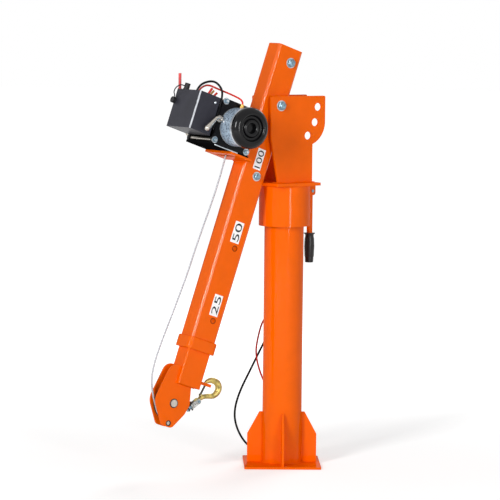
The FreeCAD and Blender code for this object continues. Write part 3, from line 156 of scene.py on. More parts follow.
class Signal:
    """One output of a graph's nodes, on which Python's operators add Math nodes."""

    def __init__(self, graph: "Graph", socket: bpy.types.NodeSocket) -> None:
        """Wrap a socket of a graph."""
        self.graph = graph
        self.socket = socket

    def math(self, operation: str, *others: "Signal | float") -> "Signal":
        """Add a Math node on this value and others."""
        return self.graph.node("ShaderNodeMath", {"operation": operation}, [self, *others])

    def __add__(self, other: "Signal | float") -> "Signal":
        """Add."""
        return self.math("ADD", other)

    def __radd__(self, other: float) -> "Signal":
        """Add to a number."""
        return self.math("ADD", other)

    def __sub__(self, other: "Signal | float") -> "Signal":
        """Take away."""
        return self.math("SUBTRACT", other)

    def __rsub__(self, other: float) -> "Signal":
        """Take from a number."""
        return self.graph.node("ShaderNodeMath", {"operation": "SUBTRACT"}, [other, self])

    def __mul__(self, other: "Signal | float") -> "Signal":
        """Multiply."""
        return self.math("MULTIPLY", other)

    def __rmul__(self, other: float) -> "Signal":
        """Multiply a number."""
        return self.math("MULTIPLY", other)

    def __truediv__(self, other: "Signal | float") -> "Signal":
        """Divide."""
        return self.math("DIVIDE", other)

    def __pow__(self, other: float) -> "Signal":
        """Raise to a power."""
        return self.math("POWER", other)

    def step(self, low: float, high: float) -> "Signal":
        """Rise smoothly from 0 at low to 1 at high."""
        settings = {"interpolation_type": "SMOOTHSTEP"}
        values = {"Value": self, "From Min": low, "From Max": high}
        return self.graph.node("ShaderNodeMapRange", settings, values)


class Graph:
    """The node tree of a material or of the world."""

    def __init__(self, owner: bpy.types.ID, shader: str = "Principled BSDF") -> None:
        """Take over the nodes of a material or world.

        Args:
            owner: the material or world.
            shader: the name of its shader node.
        """
        owner.use_nodes = True
        self.owner = owner
        self.tree = owner.node_tree
        self.shader = self.tree.nodes[shader]

    def put(self, socket: bpy.types.NodeSocket, value: Any) -> None:
        """Link a signal to a socket, or write a plain value on it.

        Args:
            socket: the input that is set.
            value: the signal or the plain value.
        """
        if isinstance(value, Signal):
            self.tree.links.new(value.socket, socket)
        else:
            socket.default_value = value

    def node(
        self,
        kind: str,
        settings: dict[str, Any] | None = None,
        inputs: dict[str, Any] | Sequence[Any] = (),
        output: int | str = 0,
    ) -> Signal:
        """Add any node.

        Args:
            kind: the node's type.
            settings: its properties, which are set first.
            inputs: values or signals by socket name, or in order.
            output: the socket that is wanted.

        Returns:
            That output.
        """
        made = self.tree.nodes.new(kind)
        for name, value in (settings or {}).items():
            setattr(made, name, value)
        pairs = inputs.items() if isinstance(inputs, dict) else enumerate(inputs)
        for key, value in pairs:
            self.put(made.inputs[key], value)
        return Signal(self, made.outputs[output])

    def place(self, scale: Point = (1, 1, 1), frame: Matrix | None = None) -> Signal:
        """Object coordinates, in a frame of the object's and stretched.

        Args:
            scale: how much each axis is stretched.
            frame: the frame that the pattern lies in.

        Returns:
            The coordinates.
        """
        raw = self.node("ShaderNodeTexCoord", output="Object")
        if frame is not None:
            back = frame.inverted()
            turn, shift = back.to_euler("XYZ"), back.to_translation()
            values = {"Vector": raw, "Rotation": turn, "Location": shift}
            raw = self.node("ShaderNodeMapping", {"vector_type": "POINT"}, values)
        return self.node("ShaderNodeVectorMath", {"operation": "MULTIPLY"}, [raw, scale])

    def noise(
        self, where: Signal, scale: float, detail: float = 3.0, rough: float = 0.55
    ) -> Signal:
        """Soft noise from 0 to 1 at some places."""
        values = {"Vector": where, "Scale": scale, "Detail": detail, "Roughness": rough}
        return self.node("ShaderNodeTexNoise", None, values)

    def mix(self, share: Signal | float, first: Any, second: Any) -> Signal:
        """Mix two colours.

        Args:
            share: how much of the second there is.
            first: the colour where the share is 0.
            second: the colour where the share is 1.

        Returns:
            The mixed colour.
        """
        made = self.tree.nodes.new("ShaderNodeMix")
        made.data_type = "RGBA"
        sockets = (made.inputs[0], made.inputs[6], made.inputs[7])
        for socket, value in zip(sockets, (share, first, second)):
            self.put(socket, value)
        return Signal(self, made.outputs[2])

    def parts(self, where: Signal) -> tuple[Signal, Signal, Signal]:
        """Split coordinates into x, y and z."""
        made = self.node("ShaderNodeSeparateXYZ", None, [where]).socket.node
        return tuple(Signal(self, socket) for socket in made.outputs)

    def bump(self, height: Signal, depth: float) -> Signal:
        """A bumped normal from a height of 0 to 1 and a depth in metres."""
        values = {"Height": height, "Distance": depth, "Strength": 1.0}
        return self.node("ShaderNodeBump", None, values)

    def finish(self, **sockets: Any) -> bpy.types.ID:
        """Write the shader's sockets.

        Args:
            sockets: values or signals by the sockets' names, with low lines for spaces.

        Returns:
            The material or world.
        """
        for name, value in sockets.items():
            label = name.replace("_", " ").title().replace("Ior", "IOR")
            self.put(self.shader.inputs[label], value)
        return self.owner


@dataclass(frozen=True)
class Finish:
    """A plain surface: a colour that varies a little, and a fine grain. Lengths are in metres."""

    name: str
    colour: Colour
    roughness: float
    metallic: float = 0.0
    coat: float = 0.0
    coat_roughness: float = 0.08
    sheen: float = 0.5
    shift: float = 0.08
    patch_size: float = 0.05
    patch_edges: Pair = (0.3, 0.7)
    grain: float = 0.00004
    grain_size: float = 0.0012
    grain_detail: float = 2.0

    def graph(self) -> Graph:
        """Start the material."""
        return Graph(bpy.data.materials.new(self.name))

    def patches(self, graph: Graph) -> Signal:
        """Soft patches from 0 to 1."""
        return graph.noise(graph.place(), 1 / self.patch_size)

    def base_colour(self, graph: Graph, patches: Signal) -> Signal:
        """The colour, darker and lighter in soft patches.

        Args:
            graph: the material's graph.
            patches: where it is lighter, from 0 to 1.

        Returns:
            The colour.
        """
        dark = tuple(part * (1 - self.shift) for part in self.colour)
        light = tuple(min(255, part * (1 + self.shift)) for part in self.colour)
        return graph.mix(patches.step(*self.patch_edges), linear(dark), linear(light))

    def coat_share(self, graph: Graph) -> Signal | float:
        """How much clear coat there is."""
        return self.coat

    def build(self) -> bpy.types.Material:
        """Make the material, and return it."""
        graph = self.graph()
        patches = self.patches(graph)
        rough = self.roughness * (1 - self.shift) + patches * (2 * self.shift * self.roughness)
        height = graph.noise(graph.place(), 1 / self.grain_size, self.grain_detail)
        return graph.finish(
            base_color=self.base_colour(graph, patches),
            roughness=rough,
            metallic=self.metallic,
            specular_ior_level=self.sheen,
            coat_weight=self.coat_share(graph),
            coat_roughness=self.coat_roughness,
            normal=graph.bump(height, self.grain),
        )


@dataclass(frozen=True)
class Paint(Finish):
    """Gloss paint over steel: orange peel, a faint haze of dust and small rubbed specks."""

    rubbed: Colour = (150, 70, 30)
    speck_scale: float = 260.0
    speck_detail: float = 4.0
    speck_rough: float = 0.7
    speck_edges: Pair = (0.76, 0.82)
    speck_share: float = 0.35

    def base_colour(self, graph: Graph, patches: Signal) -> Signal:
        """The paint with thin rubbed specks on it.

        Args:
            graph: the material's graph.
            patches: where it is lighter, from 0 to 1.

        Returns:
            The colour.
        """
        paint = super().base_colour(graph, patches)
        specks = graph.noise(graph.place(), self.speck_scale, self.speck_detail, self.speck_rough)
        share = specks.step(*self.speck_edges) * self.speck_share
        return graph.mix(share, paint, linear(self.rubbed))


@dataclass(frozen=True)
class EdgedPaint(Paint):
    """The same paint on a box tube, whose rounded long edges are rubbed to a high gloss."""

    frame: Matrix = field(default_factory=Matrix, hash=False)
    middle: float = -0.01
    flats: Pair = (0.0325, 0.0225)
    fade: float = 0.001
    edge_coat: float = 1.0

    def coat_share(self, graph: Graph) -> Signal:
        """More coat along the rounded edges than on the flats.

        Args:
            graph: the material's graph.

        Returns:
            The coat's weight.
        """
        across, side, _ = graph.parts(graph.place(frame=self.frame))
        wide, deep = self.flats
        front = (across - self.middle).math("ABSOLUTE").step(wide, wide + self.fade)
        edge = front * side.math("ABSOLUTE").step(deep, deep + self.fade)
        return edge * (self.edge_coat - self.coat) + self.coat


@dataclass(frozen=True)
class TwistedRope(Finish):
    """Laid steel wire: slanted strands that follow the rope's own map."""

    strands: int = 6
    lay: float = 0.03
    valley_edge: float = 0.45
    valley_shade: float = 0.45

    def build(self) -> bpy.types.Material:
        """Make the material, and return it."""
        graph = self.graph()
        along, around, _ = graph.parts(graph.node("ShaderNodeUVMap"))
        turns = along / self.lay + around
        wave = (turns * self.strands * math.tau).math("SINE") * 0.5 + 0.5
        dark = tuple(part * self.valley_shade for part in self.colour)
        colour = graph.mix(wave.step(0.0, self.valley_edge), linear(dark), linear(self.colour))
        return graph.finish(
            base_color=colour,
            roughness=self.roughness,
            metallic=self.metallic,
            normal=graph.bump(wave, self.grain),
        )


@dataclass(frozen=True)
class PrintedShell(Finish):
    """The motor's silver shell, with a pale panel round it that carries rows of plain ticks."""

    frame: Matrix = field(default_factory=Matrix, hash=False)
    panel: Colour = (176, 196, 214)
    panel_sides: Pair = (0.066, 0.112)
    panel_fade: float = 0.001
    panel_metal: float = 0.6
    ink: Colour = (30, 42, 84)
    ink_share: float = 0.8
    rows: float = 128.0
    row_top: Pair = (0.06, 0.12)
    row_foot: Pair = (0.56, 0.64)
    ticks: float = 11.0
    tick_edges: Pair = (0.49, 0.53)
    mottle: float = 0.06

    def build(self) -> bpy.types.Material:
        """Make the material, and return it."""
        graph = self.graph()
        x, y, z = graph.parts(graph.place(frame=self.frame))
        side = y * -1.0
        first, last = self.panel_sides
        inside = side.step(first, first + self.panel_fade)
        inside = inside * (1 - side.step(last - self.panel_fade, last))
        rows = side * self.rows
        row = rows.math("FRACT")
        line = (1 - row.step(*self.row_foot)) * row.step(*self.row_top)
        spots = [z.math("ARCTAN2", x) * self.ticks, rows, 0.0]
        tick = graph.noise(graph.node("ShaderNodeCombineXYZ", None, spots), 1.0, 1.0)
        words = inside * line * tick.step(*self.tick_edges)
        shell = graph.mix(inside, linear(self.colour), linear(self.panel))
        return graph.finish(
            base_color=graph.mix(words * self.ink_share, shell, linear(self.ink)),
            roughness=self.roughness + self.patches(graph) * self.mottle,
            metallic=self.metallic * (1 - inside * self.panel_metal),
            specular_ior_level=self.sheen,
            coat_weight=self.coat,
            coat_roughness=self.coat_roughness,
        )


@dataclass(frozen=True)
class BoxPlastic(Finish):
    """The control box's black plastic, with a painted highlight: pale along its upright near
    corner, where that corner catches light.
    """

    frame: Matrix = field(default_factory=Matrix, hash=False)
    corner: Pair = (-0.267, -0.06)
    highlight_colour: Colour = (205, 208, 214)
    highlight_edges: Pair = (0.0028, 0.0042)
    highlight_shares: Pair = (0.45, 0.5)
    streak_stretch: Point = (1, 1, 0.2)
    streak_scale: float = 240.0
    streak_edges: Pair = (0.3, 0.5)

    def base_colour(self, graph: Graph, patches: Signal) -> Signal:
        """The plastic with a painted highlight on its near corner.

        Args:
            graph: the material's graph.
            patches: where it is lighter, from 0 to 1.

        Returns:
            The colour.
        """
        plain = super().base_colour(graph, patches)
        x, y, _ = graph.parts(graph.place(frame=self.frame))
        reach = ((x - self.corner[0]) ** 2.0 + (y - self.corner[1]) ** 2.0) ** 0.5
        # painted highlight: a pale, streaked band round the upright near corner stands in for light
        # on it
        highlight_band = 1 - reach.step(*self.highlight_edges)
        streaks = graph.noise(graph.place(self.streak_stretch), self.streak_scale)
        least, more = self.highlight_shares
        share = highlight_band * (least + streaks.step(*self.streak_edges) * more)
        return graph.mix(share, plain, linear(self.highlight_colour))


YAW = math.radians(31.6)
HANG = math.radians(19.3)
PIVOT = Vector((-45.5, 0, 990.6))
WINCH_AXIS = Vector((-129, 0, -103))
ROW = Matrix()
HEAD = Matrix.Rotation(YAW, 4, "Z")
BOOM = HEAD @ Matrix.Translation(PIVOT * MM) @ Matrix.Rotation(HANG, 4, "Y")
WINCH = BOOM @ Matrix.Translation(WINCH_AXIS * MM)
GLOSS_ORANGE: dict[str, Any] = {
    "colour": (242, 99, 0), "roughness": 0.45, "coat": 0.2, "coat_roughness": 0.05,
    "sheen": 0.0, "shift": 0.012, "grain_size": 0.0022,
}


class Palette(Enum):
    """Every finish on the crane, by the surface that it dresses."""

    ORANGE = Paint("orange_gloss", **GLOSS_ORANGE)
    BOOM_ORANGE = EdgedPaint("boom_gloss", **GLOSS_ORANGE, frame=BOOM)
    ZINC = Finish("zinc_coat", (122, 146, 160), 0.3, 0.9, shift=0.14, patch_size=0.006,
                  grain_size=0.0006)
    WASHER = Finish("bright_washer", (196, 202, 206), 0.28, 0.9, shift=0.06, patch_size=0.006,
                    grain_size=0.0006)
    CHROME = Finish("bright_steel", (186, 180, 172), 0.26, 0.9, shift=0.06, patch_size=0.01,
                    grain=0.00001)
    WINCH_BLACK = Finish("winch_coat", (16, 16, 18), 0.34, sheen=0.12, shift=0.12,
                         grain_size=0.0015)
    WINCH_MATT = Finish("winch_base_coat", (16, 16, 18), 0.7, sheen=0.0, shift=0.12,
                        grain_size=0.0015)
    CAST_GREY = Finish("gearbox_cast", (186, 180, 168), 0.42, 0.35, shift=0.05, grain=0.00008,
                       grain_size=0.0014)
    CAP_GLOSS = Finish("gloss_cap", (8, 8, 10), 0.13, sheen=0.24, shift=0.1, grain=0.00001)
    BLACK_RUBBER = Finish("black_sheath", (12, 12, 14), 0.4, sheen=0.12, shift=0.14,
                          grain_size=0.0009)
    GRIP_RUBBER = Finish("grip_rubber", (30, 26, 26), 0.3, sheen=0.3, shift=0.12,
                         grain_size=0.0007)
    RED_RUBBER = Finish("red_sheath", (206, 34, 20), 0.36, sheen=0.3, shift=0.1,
                        grain_size=0.0009)
    YELLOW_RUBBER = Finish("yellow_rubber", (226, 170, 70), 0.4, sheen=0.3, shift=0.1,
                           grain_size=0.0009)
    FADED_RED = Finish("faded_red", (214, 78, 78), 0.5, sheen=0.3, shift=0.12, grain_size=0.001)
    NYLON = Finish("dark_nylon", (26, 26, 28), 0.5, sheen=0.3, shift=0.12, grain_size=0.001)
    BRASS = Finish("brass_stud", (190, 150, 80), 0.3, 0.9, shift=0.08, patch_size=0.006)
    GOLD_ZINC = Finish("yellow_zinc", (176, 158, 92), 0.34, 0.75, shift=0.2, patch_size=0.009,
                       grain=0.00006)
    CLEVIS = Finish("clevis_zinc", (172, 174, 172), 0.36, 0.8, shift=0.2, patch_size=0.005)
    # painted shade: the dark brown of the rims round the boom's spare holes
    SCALE_BROWN = Finish("hole_shade", (120, 46, 8), 0.6, sheen=0.1, shift=0.15, patch_size=0.004)
    DARK_STEEL = Finish("dark_steel", (62, 54, 48), 0.36, 0.8, shift=0.15, patch_size=0.008)
    WHITE_VINYL = Finish("white_vinyl", (252, 252, 252), 0.4, sheen=0.2, shift=0.015,
                         grain=0.00001)
    INK = Finish("number_ink", (38, 38, 44), 0.45, sheen=0.2, shift=0.08, grain=0.00001)
    ROPE = TwistedRope("laid_wire", (214, 214, 220), 0.45, 0.35, grain=0.0005)
    MOTOR = PrintedShell("motor_shell", (206, 212, 218), 0.26, 0.55, sheen=0.3, frame=WINCH)
    BOX = BoxPlastic("box_shell", (48, 48, 56), 0.4, sheen=0.15, shift=0.06, grain_size=0.0008,
                     frame=BOOM)

    @property
    def material(self) -> bpy.types.Material:
        """The material, made the first time that it is asked for."""
        found = bpy.data.materials.get(self.value.name)
        return found or self.value.build()


@dataclass(frozen=True)
class Piece:
    """A new piece: its name, finish, body, slot and the CAD nodes that it replaces."""

    name: str
    finish: Palette
    body: Body
    slot: Slot
    replaced: tuple[str, ...] = ()

    def hold(self, data: bpy.types.Mesh | bpy.types.Curve) -> bpy.types.Object:
        """Put the piece's mesh or curve in the scene, with its finish, and hide the CAD nodes that
        it replaces.

        Args:
            data: the mesh or curve, in metres.

        Returns:
            The new object, which doesn't ride yet.
        """
        made = add_object(self.name, data)
        data.materials.append(self.finish.material)
        if self.replaced:
            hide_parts(*self.replaced)
        return made

    def ride(self, made: bpy.types.Object) -> None:
        """Let the piece's object ride on its body."""
        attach(made, self.body.value)
        LOG.info("%s rides on %s", self.name, self.body.value)

    def cast(self, mesh: bmesh.types.BMesh, sharp: float) -> None:
        """Make the piece of a finished mesh.

        Args:
            mesh: the mesh in metres, which is freed.
            sharp: the angle in degrees past which an edge stays sharp.
        """
        for face in mesh.faces:
            face.smooth = True
        for edge in mesh.edges:
            closed = len(edge.link_faces) == 2
            edge.smooth = closed and edge.calc_face_angle() < math.radians(sharp)
        data = bpy.data.meshes.new(self.name)
        mesh.to_mesh(data)
        mesh.free()
        self.ride(self.hold(data))


class Shape:
    """A mesh in the making, in millimetres of some frame, that becomes one piece."""

    merge_reach = 0.001
    bevel_angle = 40.0
    bead_spacing = 0.95
    bead_tilt = 24.0
    bead_length = 0.75

    def __init__(self, frame: Matrix = ROW) -> None:
        """Start an empty mesh in a frame."""
        self.frame = frame
        self.mesh = bmesh.new()

    def aim(self, start: Point | Vector, heading: Vector) -> Matrix:
        """The place whose Z axis leaves start along a heading."""
        return Matrix.Translation(start) @ heading.to_track_quat("Z", "Y").to_matrix().to_4x4()

    def rod(
        self,
        start: Point | Vector,
        end: Point | Vector,
        radius: float,
        tip: float | None = None,
        sides: int = 32,
    ) -> None:
        """Add a closed round or tapered rod, or a prism with few sides.

        Args:
            start: the middle of its first end.
            end: the middle of its second end.
            radius: its radius at the start, at the corners of a prism.
            tip: its radius at the end, if that differs.
            sides: how many sides it has.
        """
        run = Vector(end) - Vector(start)
        middle = self.aim((Vector(start) + Vector(end)) / 2, run)
        bmesh.ops.create_cone(
            self.mesh, cap_ends=True, segments=sides, radius1=radius,
            radius2=radius if tip is None else tip, depth=run.length, matrix=middle,
        )

    def block(self, low: Point, high: Point) -> None:
        """Add a box.

        Args:
            low: its lowest corner.
            high: its highest corner.
        """
        reach = Vector(high) - Vector(low)
        middle = Matrix.Translation((Vector(low) + Vector(high)) / 2)
        bmesh.ops.create_cube(self.mesh, size=1, matrix=middle @ Matrix.Diagonal((*reach, 1)))

    def ball(self, middle: Point, radius: float, detail: int) -> None:
        """Add a ball.

        Args:
            middle: its centre.
            radius: its radius.
            detail: how many sides it has.
        """
        bmesh.ops.create_uvsphere(
            self.mesh, u_segments=detail, v_segments=detail // 2, radius=radius,
            matrix=Matrix.Translation(middle),
        )

    def turned(
        self,
        section: Iterable[Pair],
        start: Point | Vector,
        heading: Point | Vector,
        steps: int,
    ) -> None:
        """Spin a section of (radius, height) corners about a line.

        Args:
            section: the corners, from the axis to the axis or back to the first.
            start: the line's first point.
            heading: the line's direction.
            steps: how many steps a full turn takes.
        """
        place = self.aim(start, Vector(heading))
        spots = [place @ Vector((radius, 0, height)) for radius, height in section]
        corners = [self.mesh.verts.new(spot) for spot in spots]
        edges = [self.mesh.edges.new(pair) for pair in zip(corners, corners[1:])]
        bmesh.ops.spin(
            self.mesh, geom=corners + edges, cent=place.translation, axis=place.to_3x3().col[2],
            angle=math.tau, steps=steps, use_merge=True,
        )

    def beads(self, corners: Iterable[Point | Vector], size: float, closed: bool = False) -> None:
        """Lay a weld of overlapping beads along straight runs.

        Args:
            corners: the weld's corners.
            size: a bead's radius.
            closed: whether the last corner joins the first.
        """
        points = [Vector(corner) for corner in corners]
        if closed:
            points.append(points[0])
        tilt = Matrix.Rotation(math.radians(self.bead_tilt), 4, "X")
        lens = tilt @ Matrix.Diagonal((1, 1, self.bead_length, 1))
        for start, end in zip(points, points[1:]):
            run = end - start
            count = max(1, round(run.length / (size * self.bead_spacing)))
            for number in range(count):
                place = self.aim(start + run * ((number + 0.5) / count), run) @ lens
                bmesh.ops.create_icosphere(self.mesh, subdivisions=1, radius=size, matrix=place)

    def soften(self, width: float, segments: int = 2) -> None:
        """Bevel the sharp edges.

        Args:
            width: the bevel's width.
            segments: its steps.
        """
        limit = math.radians(self.bevel_angle)
        edges = [
            edge for edge in self.mesh.edges
            if len(edge.link_faces) == 2 and edge.calc_face_angle() > limit
        ]
        bmesh.ops.bevel(
            self.mesh, geom=edges, offset=width, offset_type="OFFSET", affect="EDGES",
            segments=segments, profile=0.5, clamp_overlap=True, material=-1,
        )

    def become(self, piece: Piece, sharp: float = 35.0) -> None:
        """Turn the mesh into a piece of the crane.

        Args:
            piece: what the piece is.
            sharp: the angle in degrees past which an edge stays sharp.
        """
        bmesh.ops.remove_doubles(self.mesh, verts=self.mesh.verts, dist=self.merge_reach)
        bmesh.ops.recalc_face_normals(self.mesh, faces=self.mesh.faces)
        place = self.frame @ Matrix.Scale(MM, 4)
        bmesh.ops.transform(self.mesh, matrix=place, verts=self.mesh.verts)
        piece.cast(self.mesh, sharp)


@dataclass
class Cord:
    """A round cord on one smooth line, in metres."""

    piece: Piece
    points: Sequence[Vector]
    diameter: float
    resolution: int = 10
    roundness: int = 3

    def curve(self, bevelled: bool = True) -> bpy.types.Curve:
        """Make the cord's curve.

        Args:
            bevelled: whether it has its thickness, or is a bare line.

        Returns:
            The curve.
        """
        data = bpy.data.curves.new(self.piece.name, "CURVE")
        data.dimensions = "3D"
        data.resolution_u = self.resolution
        if bevelled:
            data.bevel_depth = self.diameter / 2
            data.bevel_resolution = self.roundness
            data.use_fill_caps = True
        line = data.splines.new("NURBS")
        line.points.add(len(self.points) - 1)
        for spot, point in zip(line.points, self.points):
            spot.co = (*point, 1)
        line.order_u = 3
        line.use_endpoint_u = True
        return data

    def line(self) -> list[Vector]:
        """The points of the cord's smooth line, as Blender divides it."""
        bare = add_object(self.piece.name + "_line", self.curve(False))
        mesh = bpy.data.meshes.new_from_object(bare)
        points = [vert.co.copy() for vert in mesh.vertices]
        bpy.data.objects.remove(bare)
        bpy.data.meshes.remove(mesh)
        return points

    def declare(
        self,
        made: bpy.types.Object,
        line: list[Vector],
        lay: Lay,
        end: End = End.OBJECT,
        **more: Any,
    ) -> None:
        """Work out the cord's length along its smooth line; nothing more is done with the cord.

        Args:
            made: the cord's object; not used.
            line: the points of its smooth line.
            lay: how it lies; not used.
            end: what is on its far end; not used.
            more: whatever else would be told of the cord; not used.
        """
        length = sum((after - before).length for before, after in zip(line, line[1:]))

    def build(self, lay: Lay, end: End = End.OBJECT, **more: Any) -> None:
        """Make the cord as a curve.

        Args:
            lay: how it lies.
            end: what is on its far end.
            more: whatever else would be told of the cord, passed on to declare.
        """
        made = self.piece.hold(self.curve())
        self.piece.ride(made)
        self.declare(made, self.line(), lay, end, **more)

    def tube(self, sides: int) -> tuple[bpy.types.Object, list[Vector]]:
        """Make the cord as a mesh tube with a map along and round it.

        Args:
            sides: how many sides the tube has.

        Returns:
            The object, which doesn't ride yet, and the line's points.
        """
        path = self.line()
        shape = bmesh.new()
        across = Vector((0, 1, 0))
        rings = []
        lengths = [0.0]
        for before, after in zip(path, path[1:]):
            lengths.append(lengths[-1] + (after - before).length)
        for number, point in enumerate(path):
            heading = path[min(number + 1, len(path) - 1)] - path[max(number - 1, 0)]
            side = heading.cross(across).normalized()
            across = side.cross(heading).normalized()
            place = Matrix((side, across, heading.normalized())).transposed().to_4x4()
            place.translation = point
            made = bmesh.ops.create_circle(
                shape, segments=sides, radius=self.diameter / 2, matrix=place
            )
            rings.append(made["verts"])
        chart = shape.loops.layers.uv.new("UVMap")
        for number, (first, second) in enumerate(zip(rings, rings[1:])):
            ends = (lengths[number], lengths[number], lengths[number + 1], lengths[number + 1])
            for side in range(sides):
                turn = (side + 1) % sides
                face = shape.faces.new((first[side], first[turn], second[turn], second[side]))
                rounds = (side, side + 1, side + 1, side)
                for loop, along, around in zip(face.loops, ends, rounds):
                    loop[chart].uv = (along, around / sides)
        for ring in (rings[0][::-1], rings[-1]):
            shape.faces.new(ring)
        for face in shape.faces:
            face.smooth = len(face.verts) == 4
        bmesh.ops.recalc_face_normals(shape, faces=shape.faces)
        data = bpy.data.meshes.new(self.piece.name)
        shape.to_mesh(data)
        shape.free()
        return self.piece.hold(data), path


@dataclass(frozen=True)
class Camera:
    """The photograph's view, in degrees and metres."""

    azimuth: float = -1.697
    elevation: float = 5.035
    roll: float = 0.6014
    lens: float = 215.768
    sensor: float = 36.0
    distance: float = 8.2308
    target: Point = (-0.09288, 0.00275, 0.5912)
    reach: float = 100.0

    def build(self) -> None:
        """Add the camera and make it the scene's."""
        turns = (self.azimuth, self.elevation, self.roll)
        azimuth, elevation, roll = (math.radians(turn) for turn in turns)
        level = math.cos(elevation)
        back = Vector((math.sin(azimuth) * level, -math.cos(azimuth) * level, math.sin(elevation)))
        right = Vector((math.cos(azimuth), math.sin(azimuth), 0))
        upward = back.cross(right)
        across = right * math.cos(roll) + upward * math.sin(roll)
        rise = upward * math.cos(roll) - right * math.sin(roll)
        data = bpy.data.cameras.new("photo_camera")
        data.lens = self.lens
        data.sensor_width = self.sensor
        data.clip_end = self.reach
        camera = add_object("photo_camera", data)
        place = Matrix((across, rise, back)).transposed().to_4x4()
        place.translation = Vector(self.target) + back * self.distance
        camera.matrix_world = place
        bpy.context.scene.camera = camera


@dataclass(frozen=True)
class Lamp:
    """A soft lamp that points at the crane, as tall as it is wide or taller."""

    name: str
    place: Point
    size: float
    watts: float
    tall: float = 1.0
    target: Point = (-0.05, 0, 0.6)

    def build(self) -> None:
        """Add the lamp."""
        data = bpy.data.lights.new(self.name, "AREA")
        data.shape = "RECTANGLE"
        data.size = self.size
        data.size_y = self.size * self.tall
        data.energy = self.watts
        heading = Vector(self.target) - Vector(self.place)
        turn = heading.to_track_quat("-Z", "Y").to_matrix().to_4x4()
        add_object(self.name, data).matrix_world = Matrix.Translation(self.place) @ turn


@dataclass
class Studio:
    """A white floor and background under plain soft light."""

    lamps: tuple[Lamp, ...] = (
        Lamp("key", (-3.2, -5.0, 2.5), 1.1, 222.0, 2.2),
        Lamp("fill", (2.6, -5.6, 1.3), 0.9, 108.0, 2.6),
        Lamp("rim", (1.5, 3.5, 3.0), 1.6, 60.0),
    )
    sky: float = 0.3
    floor_reach: float = 30.0
    floor_drop: float = 0.0006
    floor_tone: float = 0.84
    glow_tones: Pair = (0.4, 0.8)
    glow_edges: Pair = (0.4, 3.0)

    def seen(self, graph: Graph) -> Signal:
        """Whether a ray comes from the camera, or by way of metal or glass."""
        kinds = ("Is Camera Ray", "Is Glossy Ray", "Is Transmission Ray")
        first, second, third = (graph.node("ShaderNodeLightPath", output=kind) for kind in kinds)
        return first.math("MAXIMUM", second).math("MAXIMUM", third)

    def build_floor(self) -> None:
        """Add the floor, which keeps the crane's shadow."""
        graph = Graph(bpy.data.materials.new("studio_floor"))
        x, y, _ = graph.parts(graph.place())
        away = ((x * x + y * y) ** 0.5).step(*self.glow_edges)
        near, far = (grey(tone) for tone in self.glow_tones)
        material = graph.finish(
            base_color=grey(self.floor_tone),
            roughness=0.9,
            specular_ior_level=0.0,
            emission_color=graph.mix(self.seen(graph), grey(0.0), graph.mix(away, near, far)),
            emission_strength=1.0,
        )
        mesh = bmesh.new()
        bmesh.ops.create_grid(mesh, x_segments=2, y_segments=2, size=self.floor_reach)
        bmesh.ops.translate(mesh, vec=(0, 0, -self.floor_drop), verts=mesh.verts)
        data = bpy.data.meshes.new("studio_floor")
        mesh.to_mesh(data)
        mesh.free()
        data.materials.append(material)
        add_object("studio_floor", data)

    def build_world(self) -> None:
        """Light the scene from all round, and show white behind it."""
        world = bpy.data.worlds.new("studio_world")
        bpy.context.scene.world = world
        graph = Graph(world, "Background")
        graph.finish(color=grey(1.0), strength=self.sky + self.seen(graph) * (1 - self.sky))

    def build(self) -> None:
        """Build all of it."""
        self.build_floor()
        self.build_world()
        for lamp in self.lamps:
            lamp.build()
        bpy.context.scene.view_settings.view_transform = "Standard"


def metres(frame: Matrix, points: Iterable[Point | Vector]) -> list[Vector]:
    """Carry points in millimetres of a frame to metres of the crane."""
    return [frame @ (Vector(point) * MM) for point in points]


def shares(foot: Point | Vector, span: float, table: Iterable[Point]) -> list[Vector]:
    """Points given as shares of a span from a foot."""
    return [Vector(foot) + Vector(row) * span for row in table]


class Dresser:
    """Gives each CAD node that keeps its own shape its finish."""

    finishes: dict[Palette, str] = {
        Palette.ORANGE: (
            "base_plate base_gussets post_tube post_cap head_sleeve head_flange "
            "fork_plate_near fork_plate_far boom_rest handle_bracket handle_bar boom_collar "
            "pivot_tube winch_bracket inner_boom pulley_cheeks hook_lug"
        ),
        Palette.BOOM_ORANGE: "outer_boom",
        Palette.ZINC: (
            "thrust_washer king_stud king_nut lead_rings handle_pin tie_bolts rope_clamp hook_pin"
        ),
        Palette.CHROME: "tie_rods pulley_pins",
        Palette.WINCH_BLACK: "winch_end_plates drum",
        Palette.WINCH_MATT: "winch_base",
        Palette.CAST_GREY: "gearbox",
        Palette.BLACK_RUBBER: "cable_grommet",
        Palette.FADED_RED: "red_boot",
        Palette.NYLON: "sleeve_bushes sheave remote_socket socket_cap",
        Palette.BRASS: "motor_terminal",
        Palette.GOLD_ZINC: "hook",
        Palette.CLEVIS: "clevis",
        Palette.DARK_STEEL: "hook_latch",
        Palette.MOTOR: "motor_body",
        Palette.BOX: "control_box box_lid",
    }

    def __init__(self, nodes: dict[str, bpy.types.Object]) -> None:
        """Keep the CAD nodes."""
        self.nodes = nodes

    def build(self) -> None:
        """Assign every finish."""
        for finish, names in self.finishes.items():
            for name in names.split():
                slots = self.nodes[name].data.materials
                for number in range(len(slots)):
                    slots[number] = finish.material
                LOG.info("%s is finished with %s", name, finish.value.name)


@dataclass(frozen=True)
class Lead:
    """A battery lead, routed in shares of the grommet's height. It stands for a CAD node."""

    node: str
    side: int
    diameter: float
    finish: Palette
    slot: Slot
    route: Route


@dataclass(frozen=True)
class Jumper:
    """A short lead of the winch: a foot, a lift, an arch in shares of a span, and an end."""

    piece: Piece
    diameter: float
    foot: Point
    lift: Point
    arch: Route
    end: Route


